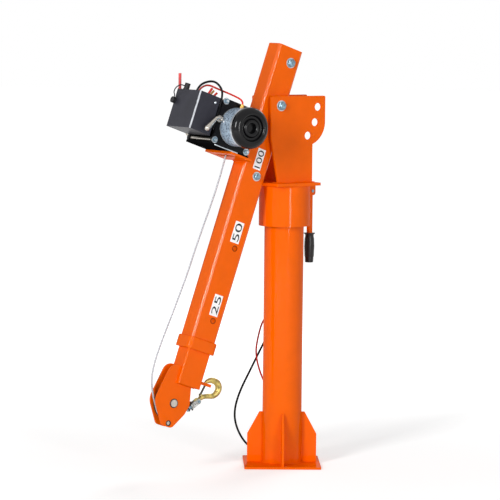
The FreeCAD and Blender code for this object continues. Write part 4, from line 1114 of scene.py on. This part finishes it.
@dataclass
class Cords:
    """The battery leads, the winch's leads and cap strap, and the rope, in millimetres."""

    lead_rise: float = 426.0
    lead_depth: float = 58.0
    leads: tuple[Lead, ...] = (
        Lead(
            "lead_black", -1, 6.0, Palette.BLACK_RUBBER, Slot.BLACK,
            (
                (-0.0211, 0.2066, 0.9601), (-0.061, 0.2441, 0.8685), (-0.1221, 0.2559, 0.7418),
                (-0.1925, 0.2606, 0.5939), (-0.2793, 0.2582, 0.4131), (-0.3075, 0.2582, 0.277),
                (-0.2746, 0.2629, 0.1596), (-0.2066, 0.277, 0.0657), (-0.1127, 0.3099, 0.0129),
                (-0.0047, 0.3521, 0.0108), (0.0939, 0.3662, 0.0099), (0.1784, 0.3498, 0.0099),
            ),
        ),
        Lead(
            "lead_red", 1, 5.0, Palette.RED_RUBBER, Slot.RED,
            (
                (0, 0.1878, 0.9977), (-0.0704, 0.2019, 0.9718), (-0.1268, 0.1784, 0.9108),
                (-0.1549, 0.1667, 0.8099), (-0.1714, 0.1643, 0.7042), (-0.1455, 0.1667, 0.5869),
                (-0.0986, 0.1784, 0.4812), (-0.0704, 0.2066, 0.3521), (-0.0563, 0.2441, 0.223),
                (-0.0235, 0.277, 0.1127), (0.0329, 0.3005, 0.0329), (0.1033, 0.3052, 0.0094),
                (0.1643, 0.2911, 0.0094),
            ),
        ),
    )
    arch_span: float = 60.0
    jumpers: tuple[Jumper, ...] = (
        Jumper(
            Piece("motor_wire_black", Palette.BLACK_RUBBER, Body.OUTER, Slot.BLACK,
                  ("motor_lead_black",)),
            6.0, (-251, -15, -45), (0, 0, 6),
            ((0.133, -0.05, 0.45), (0.567, -0.25, 0.717), (0.892, -0.517, 0.483)),
            ((-193.5, -57, -40.5), (-193.5, -57, -67.5)),
        ),
        Jumper(
            Piece("motor_wire_red", Palette.RED_RUBBER, Body.OUTER, Slot.RED, ("motor_lead_red",)),
            5.0, (-238, -4, -45), (0, 0, 5),
            ((0.067, -0.033, 0.3), (0.3, -0.133, 0.5), (0.7, -0.433, 0.417), (1.167, -0.833, 0.35)),
            ((-136, -72, -30), (-136, -72, -42)),
        ),
        Jumper(
            Piece("cap_tether", Palette.BLACK_RUBBER, Body.OUTER, Slot.BLACK, ("cap_strap",)),
            3.0, (-260.5, 36, -34), (-3, 0, 0),
            ((-0.158, 0.067, 0), (-0.308, 0.183, -0.15), (-0.308, 0.267, -0.4)),
            ((-271.5, 54, -63.5), (-271.5, 54, -69.5)),
        ),
    )
    rope_dia: float = 5.0
    winding: Piece = Piece("rope_coils", Palette.ROPE, Body.DRUM, Slot.ROPE, ("rope_winding",))
    winding_radius: float = 33.0
    winding_sides: int = 12
    pitch: float = 5.6
    turns: int = 8
    turn_points: int = 12
    run: Piece = Piece("rope_line", Palette.ROPE, Body.INNER, Slot.ROPE, ("rope_run",))
    run_start: Point = (-96.0, 0, -122.4)
    run_sides: int = 14
    run_span: float = 702.0
    run_route: Route = (
        (-0.1353, 0, -0.235), (-0.1318, 0, -0.3348), (-0.1339, 0, -0.4345),
        (-0.1396, 0, -0.5342), (-0.1446, 0, -0.6339), (-0.1467, 0, -0.7336),
        (-0.1538, 0, -0.8333), (-0.1624, 0, -0.933), (-0.1709, 0, -1.0328),
        (-0.1724, 0, -1.1182), (-0.1543, 0, -1.188),
    )
    slide_end: Point = (-110, 0, -760)
    sheave_centre: Point = (-35.6, 0, -856.3)
    sheave_radius: float = 46.8
    sheave_steps: int = 8
    hook_eye: Point = (46.0, 0, -830.0)
    clamp_reach: float = 40.0

    def lay_lead(self, lead: Lead) -> None:
        """Lay one battery lead from the grommet to its ring terminal."""
        foot = Vector((lead.side * lead.diameter, self.lead_depth, self.lead_rise))
        points = [foot, foot + Vector((0, lead.diameter, 0))]
        points += shares((0, 0, 0), self.lead_rise, lead.route)
        piece = Piece(lead.node + "_cord", lead.finish, Body.BASE, lead.slot, (lead.node,))
        cord = Cord(piece, metres(ROW, points), lead.diameter * MM)
        cord.build(Lay.HANGING, End.FITTING, with_pieces=["lead_rings"])

    def lay_jumper(self, jumper: Jumper) -> None:
        """Lay one short lead of the winch."""
        foot = Vector(jumper.foot)
        arch = shares(foot, self.arch_span, jumper.arch)
        points = [foot, foot + Vector(jumper.lift), *arch, *jumper.end]
        Cord(jumper.piece, metres(BOOM, points), jumper.diameter * MM).build(Lay.LOOSE)

    def wind(self) -> None:
        """Wind the rope on the drum as one helix."""
        step = math.tau / self.turn_points
        outer = self.winding_radius / math.cos(step / 2)
        points = []
        for number in range(self.turns * self.turn_points + 1):
            turn = math.tau * self.turns - step * number
            drift = -self.pitch * turn / math.tau
            points.append((outer * math.cos(turn), drift, outer * math.sin(turn)))
        points.append((self.winding_radius, 0, -self.rope_dia))
        cord = Cord(self.winding, metres(WINCH, points), self.rope_dia * MM)
        made, path = cord.tube(self.winding_sides)
        self.winding.ride(made)
        cord.declare(made, path, Lay.COILED, path=path)

    def round_sheave(self, last: Vector) -> list[Vector]:
        """Carry the rope round the sheave and on to its clamp.

        Args:
            last: the free run's last point.

        Returns:
            The rope's further points, in millimetres of the boom's frame.
        """
        centre, eye = Vector(self.sheave_centre), Vector(self.hook_eye)

        def touch(point: Vector, side: int) -> float:
            """The angle at which a straight rope from a point touches the sheave."""
            reach = point - centre
            bearing = math.atan2(reach.z, reach.x)
            return bearing + side * math.acos(self.sheave_radius / reach.length)

        def rim(turn: float, radius: float) -> Vector:
            """The point at an angle and a radius from the sheave's centre."""
            return centre + Vector((math.cos(turn), 0, math.sin(turn))) * radius

        first = touch(last, 1)
        wrap = (touch(eye, -1) - first) % math.tau
        spread = wrap / self.sheave_steps
        outer = self.sheave_radius / math.cos(spread / 2)
        middles = [first + spread * (number + 0.5) for number in range(self.sheave_steps)]
        leave = rim(first + wrap, self.sheave_radius)
        heading = (eye - leave).normalized()
        return [*(rim(turn, outer) for turn in middles), leave, eye - heading * self.clamp_reach]

    def lay_run(self) -> None:
        """Lay the rope from the drum down the boom, round the sheave and up to its clamp."""
        start = Vector(self.run_start)
        points = [start, start - Vector((0, 0, self.rope_dia))]
        points += shares((0, 0, 0), self.run_span, self.run_route)
        points += self.round_sheave(points[-1])
        cord = Cord(self.run, metres(BOOM, points), self.rope_dia * MM)
        made, path = cord.tube(self.run_sides)
        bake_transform(made)
        cord.declare(made, path, Lay.TAUT, path=path)

    def build(self) -> None:
        """Lay every cord."""
        for lead in self.leads:
            self.lay_lead(lead)
        for jumper in self.jumpers:
            self.lay_jumper(jumper)
        self.wind()
        self.lay_run()


@dataclass
class MotorDetails:
    """The motor's turned end cap and the screws of its band, on the winch's axis."""

    cap_foot: float = -124.0
    cap_steps: int = 72
    cap_section: Section = (
        (0, 0), (53.5, 0), (56, 1.5), (56, 7), (55.5, 10.4), (54, 13.6), (51.8, 16.4),
        (49, 18.9), (45.8, 20.8), (42.4, 22.1), (39.4, 22.3), (36.8, 21.2), (34.8, 18.8),
        (33.6, 15.6), (32.8, 13), (31, 12), (27, 12), (25.4, 12.8), (24.4, 15.6),
        (22.6, 18.2), (19.8, 19.8), (16.8, 19.6), (14.2, 17.8), (12.6, 14.6), (12, 10),
        (11.8, 6), (0, 6),
    )
    screw_level: float = -119.5
    screw_foot: float = 52.5
    screw_rise: float = 2.2
    screw_radii: Pair = (2.4, 1.7)
    screw_sides: int = 12
    screw_angles: tuple[int, ...] = (158, 118, 78, 38, -2, -42, -82, -122, -162)

    def build(self) -> None:
        """Add the cap and the band's screws."""
        cap = Shape(BOOM)
        foot = WINCH_AXIS + Vector((0, self.cap_foot, 0))
        cap.turned(self.cap_section, foot, (0, -1, 0), self.cap_steps)
        cap.become(
            Piece("turned_cap", Palette.CAP_GLOSS, Body.OUTER, Slot.CAP, ("motor_cap",)), 50
        )
        screws = Shape(BOOM)
        axis = WINCH_AXIS + Vector((0, self.screw_level, 0))
        for angle in self.screw_angles:
            turn = math.radians(angle)
            out = Vector((math.cos(turn), 0, math.sin(turn)))
            foot = axis + out * self.screw_foot
            screws.rod(foot, foot + out * self.screw_rise, *self.screw_radii, self.screw_sides)
        screws.become(Piece("band_screws", Palette.WASHER, Body.OUTER, Slot.ZINC))


@dataclass
class WinchDetails:
    """Small parts on the winch and its box that the solids leave out."""

    rod_places: tuple[Pair, ...] = ((-182, -47), (-76, -47), (-182, -156), (-76, -156))
    plate_face: float = 62.0
    washer_rise: float = 1.8
    washer_radii: Pair = (9.4, 9.0)
    stub_span: Pair = (5.9, 9.2)
    stub_radii: Pair = (4.2, 3.4)
    box_face: float = 60.0
    box_screw: Pair = (-211.9, -61.9)
    box_screw_section: Section = (
        (0, 0), (3.6, 0), (3.6, 0.8), (2.6, 2), (1.2, 2.4), (0, 2.4),
    )
    boots: tuple[tuple[Point, Point, float, Palette], ...] = (
        ((-224, -30, -45), (-217, -32, -24), 3.2, Palette.RED_RUBBER),
        ((-214, -24, -45), (-206, -26, -27), 2.8, Palette.YELLOW_RUBBER),
        ((-207, -32, -45), (-200, -35, -31), 3.0, Palette.RED_RUBBER),
    )
    boot_end: float = 0.8
    boot_lip: float = 0.8
    tab_corners: tuple[Point, Point] = ((-184, -68, -112), (-172, -64, -88))
    tab_round: float = 1.2
    tab_screw_stem: tuple[Point, Point] = ((-179, -64, -104), (-179, -78.8, -104))
    tab_screw_head: Point = (-179, -78.5, -104)
    tab_screw_tilt: Point = (-0.35, -1, 0)
    tab_screw_section: Section = ((0, 0), (3.4, 0), (3.4, 1.2), (2.2, 2.4), (0, 2.6))
    # the painted highlight strip along the base plate's near edge
    edge_corners: tuple[Point, Point] = ((-178, -62.9, -169.2), (-100, -61.9, -166.4))
    edge_round: float = 0.4
    boss_foot: Point = (-187, -62, -99)
    boss_flat: float = -181.6
    boss_section: Section = (
        (0, 0), (9.4, 0), (9.4, 4.6), (8.4, 6), (5.2, 6.6), (5.2, 8.7), (0, 8.7),
    )

    def washers(self) -> None:
        """Bright washers and stub ends at the tie rods' heads."""
        made = Shape(BOOM)
        near, far = self.stub_span
        for across, drop in self.rod_places:
            for side in (-1, 1):
                foot = Vector((across, side * self.plate_face, drop))
                out = Vector((0, side, 0))
                made.rod(foot, foot + out * self.washer_rise, *self.washer_radii, 28)
                made.rod(foot + out * near, foot + out * far, *self.stub_radii, 16)
        made.become(Piece("tie_washers", Palette.WASHER, Body.OUTER, Slot.ZINC))

    def box_parts(self) -> None:
        """The box's screws, and the small boots that stand on its lid."""
        screws = Shape(BOOM)
        across, drop = self.box_screw
        for side in (-1, 1):
            foot = (across, side * self.box_face, drop)
            screws.turned(self.box_screw_section, foot, (0, side, 0), 20)
        screws.become(Piece("box_screws", Palette.WASHER, Body.OUTER, Slot.ZINC))
        for number, (start, end, radius, finish) in enumerate(self.boots):
            boot = Shape(BOOM)
            run = Vector(end) - Vector(start)
            tip, reach = radius * self.boot_end, run.length
            section = ((0, 0), (tip, 0), (radius, self.boot_lip), (radius, reach - self.boot_lip),
                       (tip, reach), (0, reach))
            boot.turned(section, start, run, 16)
            boot.become(Piece(f"lid_boot_{number}", finish, Body.OUTER, Slot.RED))

    def tab(self) -> None:
        """The black tab and pale screw beside the clutch's hub."""
        tab = Shape(BOOM)
        tab.block(*self.tab_corners)
        tab.soften(self.tab_round)
        tab.become(Piece("clutch_tab", Palette.WINCH_BLACK, Body.OUTER, Slot.WINCH))
        screw = Shape(BOOM)
        screw.turned(self.tab_screw_section, self.tab_screw_head, self.tab_screw_tilt, 20)
        screw.rod(*self.tab_screw_stem, 2.0, sides=12)
        screw.become(Piece("tab_screw", Palette.WHITE_VINYL, Body.OUTER, Slot.ZINC))

    def edge(self) -> None:
        """A bright metal strip on the base plate's near edge: a painted highlight along that edge.
        """
        strip = Shape(BOOM)
        # painted highlight: a thin bright strip where the plate's edge catches light
        strip.block(*self.edge_corners)
        strip.soften(self.edge_round)
        strip.become(Piece("highlight_strip", Palette.WASHER, Body.OUTER, Slot.ZINC))

    def boss(self) -> None:
        """The clutch lever's bright boss, with a flat beside the motor's shell."""
        boss = Shape(BOOM)
        boss.turned(self.boss_section, self.boss_foot, (0, -1, 0), 40)
        mesh = boss.mesh
        cut = bmesh.ops.bisect_plane(
            mesh, geom=mesh.verts[:] + mesh.edges[:] + mesh.faces[:], dist=0.0001,
            plane_co=(self.boss_flat, 0, 0), plane_no=(1, 0, 0), clear_outer=True,
        )
        rim = [item for item in cut["geom_cut"] if isinstance(item, bmesh.types.BMEdge)]
        bmesh.ops.edgenet_fill(mesh, edges=rim)
        boss.become(Piece("clutch_boss", Palette.CHROME, Body.OUTER, Slot.ZINC))

    def build(self) -> None:
        """Add them all."""
        self.washers()
        self.box_parts()
        self.tab()
        self.edge()
        self.boss()


@dataclass
class ClutchLever:
    """The cast clutch lever: a knurled hub, a bent arm and a wide tip."""

    hub: Point = (-187.0, -62.0, -99.0)
    hub_radius: float = 5.6
    hub_section: Section = ((0, 9), (5.6, 9), (5.6, 15), (4.6, 16.6), (3.0, 17.6), (0, 18))
    knurls: int = 18
    knurl_span: Pair = (9.6, 14.8)
    knurl_radius: float = 0.45
    knurl_sink: float = 0.1
    arm: tuple[tuple[Point, float], ...] = (
        ((-187, -75.4, -98), 4.4), ((-196, -75.8, -98.5), 4.2), ((-204, -76.6, -101.5), 4.6),
        ((-214, -78, -117), 5.8), ((-222, -79.5, -130), 7.2), ((-226, -80, -136.5), 7.4),
    )
    arm_sides: int = 20

    def build(self) -> None:
        """Add the lever."""
        made = Shape(BOOM)
        made.turned(self.hub_section, self.hub, (0, -1, 0), 36)
        near, far = (Vector((0, -reach, 0)) for reach in self.knurl_span)
        for number in range(self.knurls):
            turn = math.tau * number / self.knurls
            out = Vector((math.cos(turn), 0, math.sin(turn)))
            spot = Vector(self.hub) + out * (self.hub_radius - self.knurl_sink)
            made.rod(spot + near, spot + far, self.knurl_radius, sides=6)
        for (start, first), (end, last) in zip(self.arm, self.arm[1:]):
            made.rod(start, end, first, last, self.arm_sides)
            made.ball(end, last, self.arm_sides)
        made.become(
            Piece("lever_casting", Palette.CHROME, Body.LEVER, Slot.ZINC, ("clutch_lever",)), 50
        )


@dataclass(frozen=True)
class Bolt:
    """A cross bolt: its seats' distance from the boom's middle, its drop along it, its radii."""

    name: str
    level: float
    drop: float
    washer: float
    hexagon: float
    shank: float
    body: Body
    replaced: tuple[str, ...]


@dataclass
class BoomDetails:
    """The boom's three number plates, the painted shade round its spare holes and its cross bolts.
    """

    face: float = -30.0
    plates: tuple[tuple[str, Pair, Pair], ...] = (
        ("100", (-19.5, 5.5), (-185, -127)),
        ("50", (-21.5, 7), (-394, -335)),
        ("25", (-18, 9), (-600, -541)),
    )
    plate_skin: Pair = (0.5, 0.05)
    plate_round: float = 0.22
    number_lift: float = 0.55
    number_fill: Pair = (0.84, 0.74)
    number_depth: float = 0.002
    number_stretch: float = 40.0
    hole_drops: Pair = (-408.0, -613.0)
    rim_section: Section = (
        (6.6, -0.6), (8.2, -0.6), (8.2, 0.35), (7.6, 0.5), (6.6, 0.4), (6.6, -0.6),
    )
    washer_rises: Pair = (2.0, 2.6)
    washer_rounds: Pair = (0.4, 0.7)
    head_span: Pair = (2.6, 7.6)
    crown_rise: float = 9.4
    crown_share: float = 0.84
    stub_section: Section = ((0, 9), (0.86, 9), (0.86, 10.6), (0.7, 11.4), (0, 11.6))
    shank_past: float = 2.0
    shank_share: float = 0.94
    bolts: tuple[Bolt, ...] = (
        Bolt("extension", 30.0, -203.0, 12.8, 9.4, 5.6, Body.OUTER, ("extension_bolts",)),
        Bolt("lock", 30.0, 121.8, 14.0, 12.2, 9.6, Body.OUTER, ("lock_bolt",)),
        Bolt("pivot", 47.0, 0.0, 14.6, 12.6, 9.6, Body.HEAD, ("pivot_bolt", "pivot_nut")),
    )

    def words(self, text: str) -> bmesh.types.BMesh:
        """Cut a number's mesh out of a text object.

        Args:
            text: the number.

        Returns:
            Its mesh, with its middle at the origin and sides of 1.
        """
        data = bpy.data.curves.new("number", "FONT")
        data.body = text
        data.extrude = self.number_depth
        carrier = add_object("number", data)
        mesh = bmesh.new()
        mesh.from_mesh(bpy.data.meshes.new_from_object(carrier))
        bpy.data.objects.remove(carrier)
        low, high = (
            Vector([choose(vert.co[axis] for vert in mesh.verts) for axis in (0, 1)] + [0])
            for choose in (min, max)
        )
        wide, tall, _ = high - low
        fit = Matrix.Diagonal((1 / wide, 1 / tall, self.number_stretch, 1))
        middle = Matrix.Translation(-(low + high) / 2)
        bmesh.ops.transform(mesh, matrix=fit @ middle, verts=mesh.verts)
        return mesh

    def number(self, text: str, across: Pair, down: Pair) -> None:
        """Put a white plate with a plain number on the boom's near face.

        Args:
            text: the number.
            across: its sides in the boom's frame.
            down: its lower and upper ends.
        """
        out, back = self.plate_skin
        plate = Shape(BOOM)
        low, high = (across[0], self.face - out, down[0]), (across[1], self.face + back, down[1])
        plate.block(low, high)
        plate.soften(self.plate_round, 1)
        piece = Piece(f"number_plate_{text}", Palette.WHITE_VINYL, Body.OUTER, Slot.SILVER)
        plate.become(piece)
        along, over = self.number_fill
        size = Matrix.Diagonal(((down[1] - down[0]) * along, (across[1] - across[0]) * over, 1, 1))
        turn = Matrix(((0, -1, 0), (0, 0, -1), (1, 0, 0))).to_4x4()
        middle = (sum(across) / 2, self.face - self.number_lift, sum(down) / 2)
        place = BOOM @ Matrix.Scale(MM, 4) @ Matrix.Translation(middle) @ turn @ size
        mesh = self.words(text)
        bmesh.ops.transform(mesh, matrix=place, verts=mesh.verts)
        bmesh.ops.recalc_face_normals(mesh, faces=mesh.faces)
        Piece(f"number_{text}", Palette.INK, Body.OUTER, Slot.BLACK).cast(mesh, 35.0)

    def rims(self) -> None:
        """Dark rims round the boom's spare holes: painted shade in the holes."""
        # painted shade: thin dark rings that darken the holes' mouths
        made = Shape(BOOM)
        for drop in self.hole_drops:
            for side in (-1, 1):
                foot = (0, side * -self.face, drop)
                made.turned(self.rim_section, foot, (0, side, 0), 36)
        made.become(Piece("hole_shade_rims", Palette.SCALE_BROWN, Body.OUTER, Slot.ORANGE))

    def bolt(self, bolt: Bolt) -> None:
        """Put a cross bolt's bright washers, chamfered hexagons and stub ends on both sides."""
        made, rings = Shape(BOOM), Shape(BOOM)
        wall, rise = self.washer_rises
        low, high = self.washer_rounds
        washer = (
            (bolt.shank, 0), (bolt.washer - low, 0), (bolt.washer, low), (bolt.washer, wall),
            (bolt.washer - high, rise), (bolt.shank, rise), (bolt.shank, 0),
        )
        stub = [(bolt.shank * share, height) for share, height in self.stub_section]
        for side in (-1, 1):
            out = Vector((0, side, 0))
            foot = Vector((0, side * bolt.level, bolt.drop))
            start, end = (foot + out * reach for reach in self.head_span)
            crown = foot + out * self.crown_rise
            rings.turned(washer, foot, out, 40)
            made.rod(start, end, bolt.hexagon, sides=6)
            made.rod(end, crown, bolt.hexagon, bolt.hexagon * self.crown_share, 6)
            made.turned(stub, foot, out, 24)
        reach = bolt.level + self.shank_past
        radius = bolt.shank * self.shank_share
        made.rod((0, -reach, bolt.drop), (0, reach, bolt.drop), radius, sides=24)
        made.become(
            Piece(bolt.name + "_fixing", Palette.ZINC, bolt.body, Slot.ZINC, bolt.replaced)
        )
        rings.become(Piece(bolt.name + "_washers", Palette.WASHER, bolt.body, Slot.ZINC))

    def build(self) -> None:
        """Add them all."""
        for plate in self.plates:
            self.number(*plate)
        self.rims()
        for bolt in self.bolts:
            self.bolt(bolt)


@dataclass
class PulleyDetails:
    """The pins' retaining rings and the rope clip's bows."""

    pins: tuple[tuple[Pair, float], ...] = (((-35.6, -856.3), 10.0), ((-34.5, -911.6), 5.0))
    cheek_face: float = 17.0
    ring_section: Section = ((0, 0), (2.6, 0), (2.8, 0.6), (2.0, 1.4), (0, 1.4), (0, 0))
    clip_middle: Point = (25.25, 0, -855.65)
    clip_heading: Point = (0.629, 0, 0.777)
    bow_places: tuple[float, ...] = (-3.0, 8.0, 13.5, 19.0)
    bow_section: Section = (
        (6.6, -1.1), (8.2, -1.1), (8.9, 0), (8.2, 1.1), (6.6, 1.1), (6.6, -1.1),
    )
    nut_sides: tuple[int, ...] = (1, -1, 1)
    nut_span: Pair = (8.0, 12.0)
    nut_radius: float = 2.6

    def rings(self) -> None:
        """Retaining rings on both ends of both pins."""
        made = Shape(BOOM)
        for (across, drop), radius in self.pins:
            section = [(radius + reach, rise) for reach, rise in self.ring_section]
            for side in (-1, 1):
                made.turned(section, (across, side * self.cheek_face, drop), (0, side, 0), 40)
        made.become(Piece("pin_rings", Palette.DARK_STEEL, Body.INNER, Slot.ZINC))

    def bows(self) -> None:
        """The rope clip's bows and their nuts."""
        made = Shape(BOOM)
        along = Vector(self.clip_heading).normalized()
        out = along.cross(Vector((0, 1, 0))).normalized()
        spots = [Vector(self.clip_middle) + along * place for place in self.bow_places]
        for spot in spots:
            made.turned(self.bow_section, spot, along, 32)
        near, far = (out * reach for reach in self.nut_span)
        for spot, side in zip(spots, self.nut_sides):
            made.rod(spot + near * side, spot + far * side, self.nut_radius, sides=6)
        made.become(Piece("clip_bows", Palette.DARK_STEEL, Body.INNER, Slot.ZINC))

    def build(self) -> None:
        """Add both."""
        self.rings()
        self.bows()


@dataclass
class HandleGrip:
    """The handle's moulded grip, which swells in the middle under a flared collar."""

    top: Point = (84.5, 0.0, 637.0)
    section: Section = (
        (0, 0), (15.4, 0), (15.8, 0.8), (15.6, 2.2), (12.6, 4.2), (11.8, 8), (12.6, 16),
        (13.4, 28), (13.6, 40), (13.2, 54), (12.4, 66), (11.6, 71), (12.2, 72), (11.5, 73.2),
        (12.0, 74.6), (11.3, 76), (11.8, 78), (11.4, 81), (10.2, 82), (0, 82),
    )
    ribs: int = 14
    rib_radius: float = 0.9
    rib_line: Section = ((12.3, 14), (13.3, 38), (12.1, 66))

    def build(self) -> None:
        """Add the grip and its moulded ribs."""
        grip = Shape(HEAD)
        grip.turned(self.section, self.top, (0, 0, -1), 64)
        for number in range(self.ribs):
            turn = math.tau * number / self.ribs
            out = Vector((math.cos(turn), math.sin(turn), 0))
            spots = [Vector(self.top) + out * radius - Vector((0, 0, drop))
                     for radius, drop in self.rib_line]
            for start, end in zip(spots, spots[1:]):
                grip.rod(start, end, self.rib_radius, sides=8)
        replaced = ("handle_grip",)
        grip.become(
            Piece("moulded_grip", Palette.GRIP_RUBBER, Body.HANDLE, Slot.BLACK, replaced), 50
        )


@dataclass
class Welds:
    """Painted weld beads where the plates and tubes of the crane meet, in millimetres."""

    size: float = 2.0
    steps: int = 40
    post_ring: Pair = (55.0, 7.0)
    gusset_side: float = 3.6
    gusset_foot: tuple[Pair, Pair] = ((58, 7), (92, 7))
    gusset_rise: tuple[Pair, Pair] = ((54.6, 10), (54.6, 142))
    sleeve_ring: Pair = (71.0, 771.0)
    fork_levels: Pair = (40.0, 48.0)
    fork_reach: float = 66.0
    fork_foot: float = 781.0
    collar_sides: Pair = (-51.0, 31.0)
    collar_drop: float = -671.0
    bracket_reach: float = 26.0
    bracket_drops: Pair = (-169.0, -177.0)
    cheek_level: float = 18.0
    cheek_line: tuple[Pair, ...] = ((-47.4, -756), (-47.4, -801.4), (12, -801.4))

    def circle(self, made: Shape, radius: float, height: float) -> None:
        """Lay a weld round an upright tube."""
        turns = [math.tau * step / self.steps for step in range(self.steps)]
        corners = [(radius * math.cos(turn), radius * math.sin(turn), height) for turn in turns]
        made.beads(corners, self.size, True)

    def base(self) -> Shape:
        """The post's foot and the gussets."""
        made = Shape(ROW)
        self.circle(made, *self.post_ring)
        for number in range(4):
            turn = Matrix.Rotation(number * math.pi / 2, 4, "Z")
            for side in (-self.gusset_side, self.gusset_side):
                for line in (self.gusset_foot, self.gusset_rise):
                    spots = [turn @ Vector((reach, side, height)) for reach, height in line]
                    made.beads(spots, self.size)
        return made

    def head(self) -> Shape:
        """The sleeve under its flange and the fork plates' feet."""
        made = Shape(HEAD)
        self.circle(made, *self.sleeve_ring)
        reach, foot = self.fork_reach, self.fork_foot
        for side in (-1, 1):
            for level in self.fork_levels:
                made.beads([(-reach, side * level, foot), (reach, side * level, foot)], self.size)
        return made

    def outer(self) -> Shape:
        """The collar's upper edge and the winch bracket."""
        made = Shape(BOOM)
        low, high = self.collar_sides
        corners = ((low, -high), (high, -high), (high, high), (low, high))
        made.beads([(*corner, self.collar_drop) for corner in corners], self.size, True)
        for drop in self.bracket_drops:
            reach = self.bracket_reach
            made.beads([(low, -reach, drop), (low, reach, drop)], self.size)
        return made

    def inner(self) -> Shape:
        """The cheeks where they leave the inner boom."""
        made = Shape(BOOM)
        for level in (-self.cheek_level, self.cheek_level):
            made.beads([(across, level, drop) for across, drop in self.cheek_line], self.size)
        return made

    def build(self) -> None:
        """Add the four groups of beads."""
        groups = (("base_welds", self.base(), Body.BASE), ("head_welds", self.head(), Body.HEAD),
                  ("boom_welds", self.outer(), Body.OUTER),
                  ("cheek_welds", self.inner(), Body.INNER))
        for name, made, body in groups:
            made.become(Piece(name, Palette.ORANGE, body, Slot.ORANGE), 75)


def main() -> None:
    """Build the crane's looks."""
    logging.basicConfig(level=logging.INFO)
    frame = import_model()
    groups = (Camera(), Studio(), Dresser(frame["nodes"]), Cords(), MotorDetails(), WinchDetails(),
              ClutchLever(), BoomDetails(), PulleyDetails(), HandleGrip(), Welds())
    for group in groups:
        LOG.info("building %s", type(group).__name__)
        group.build()


if __name__ == "__main__":
    main()
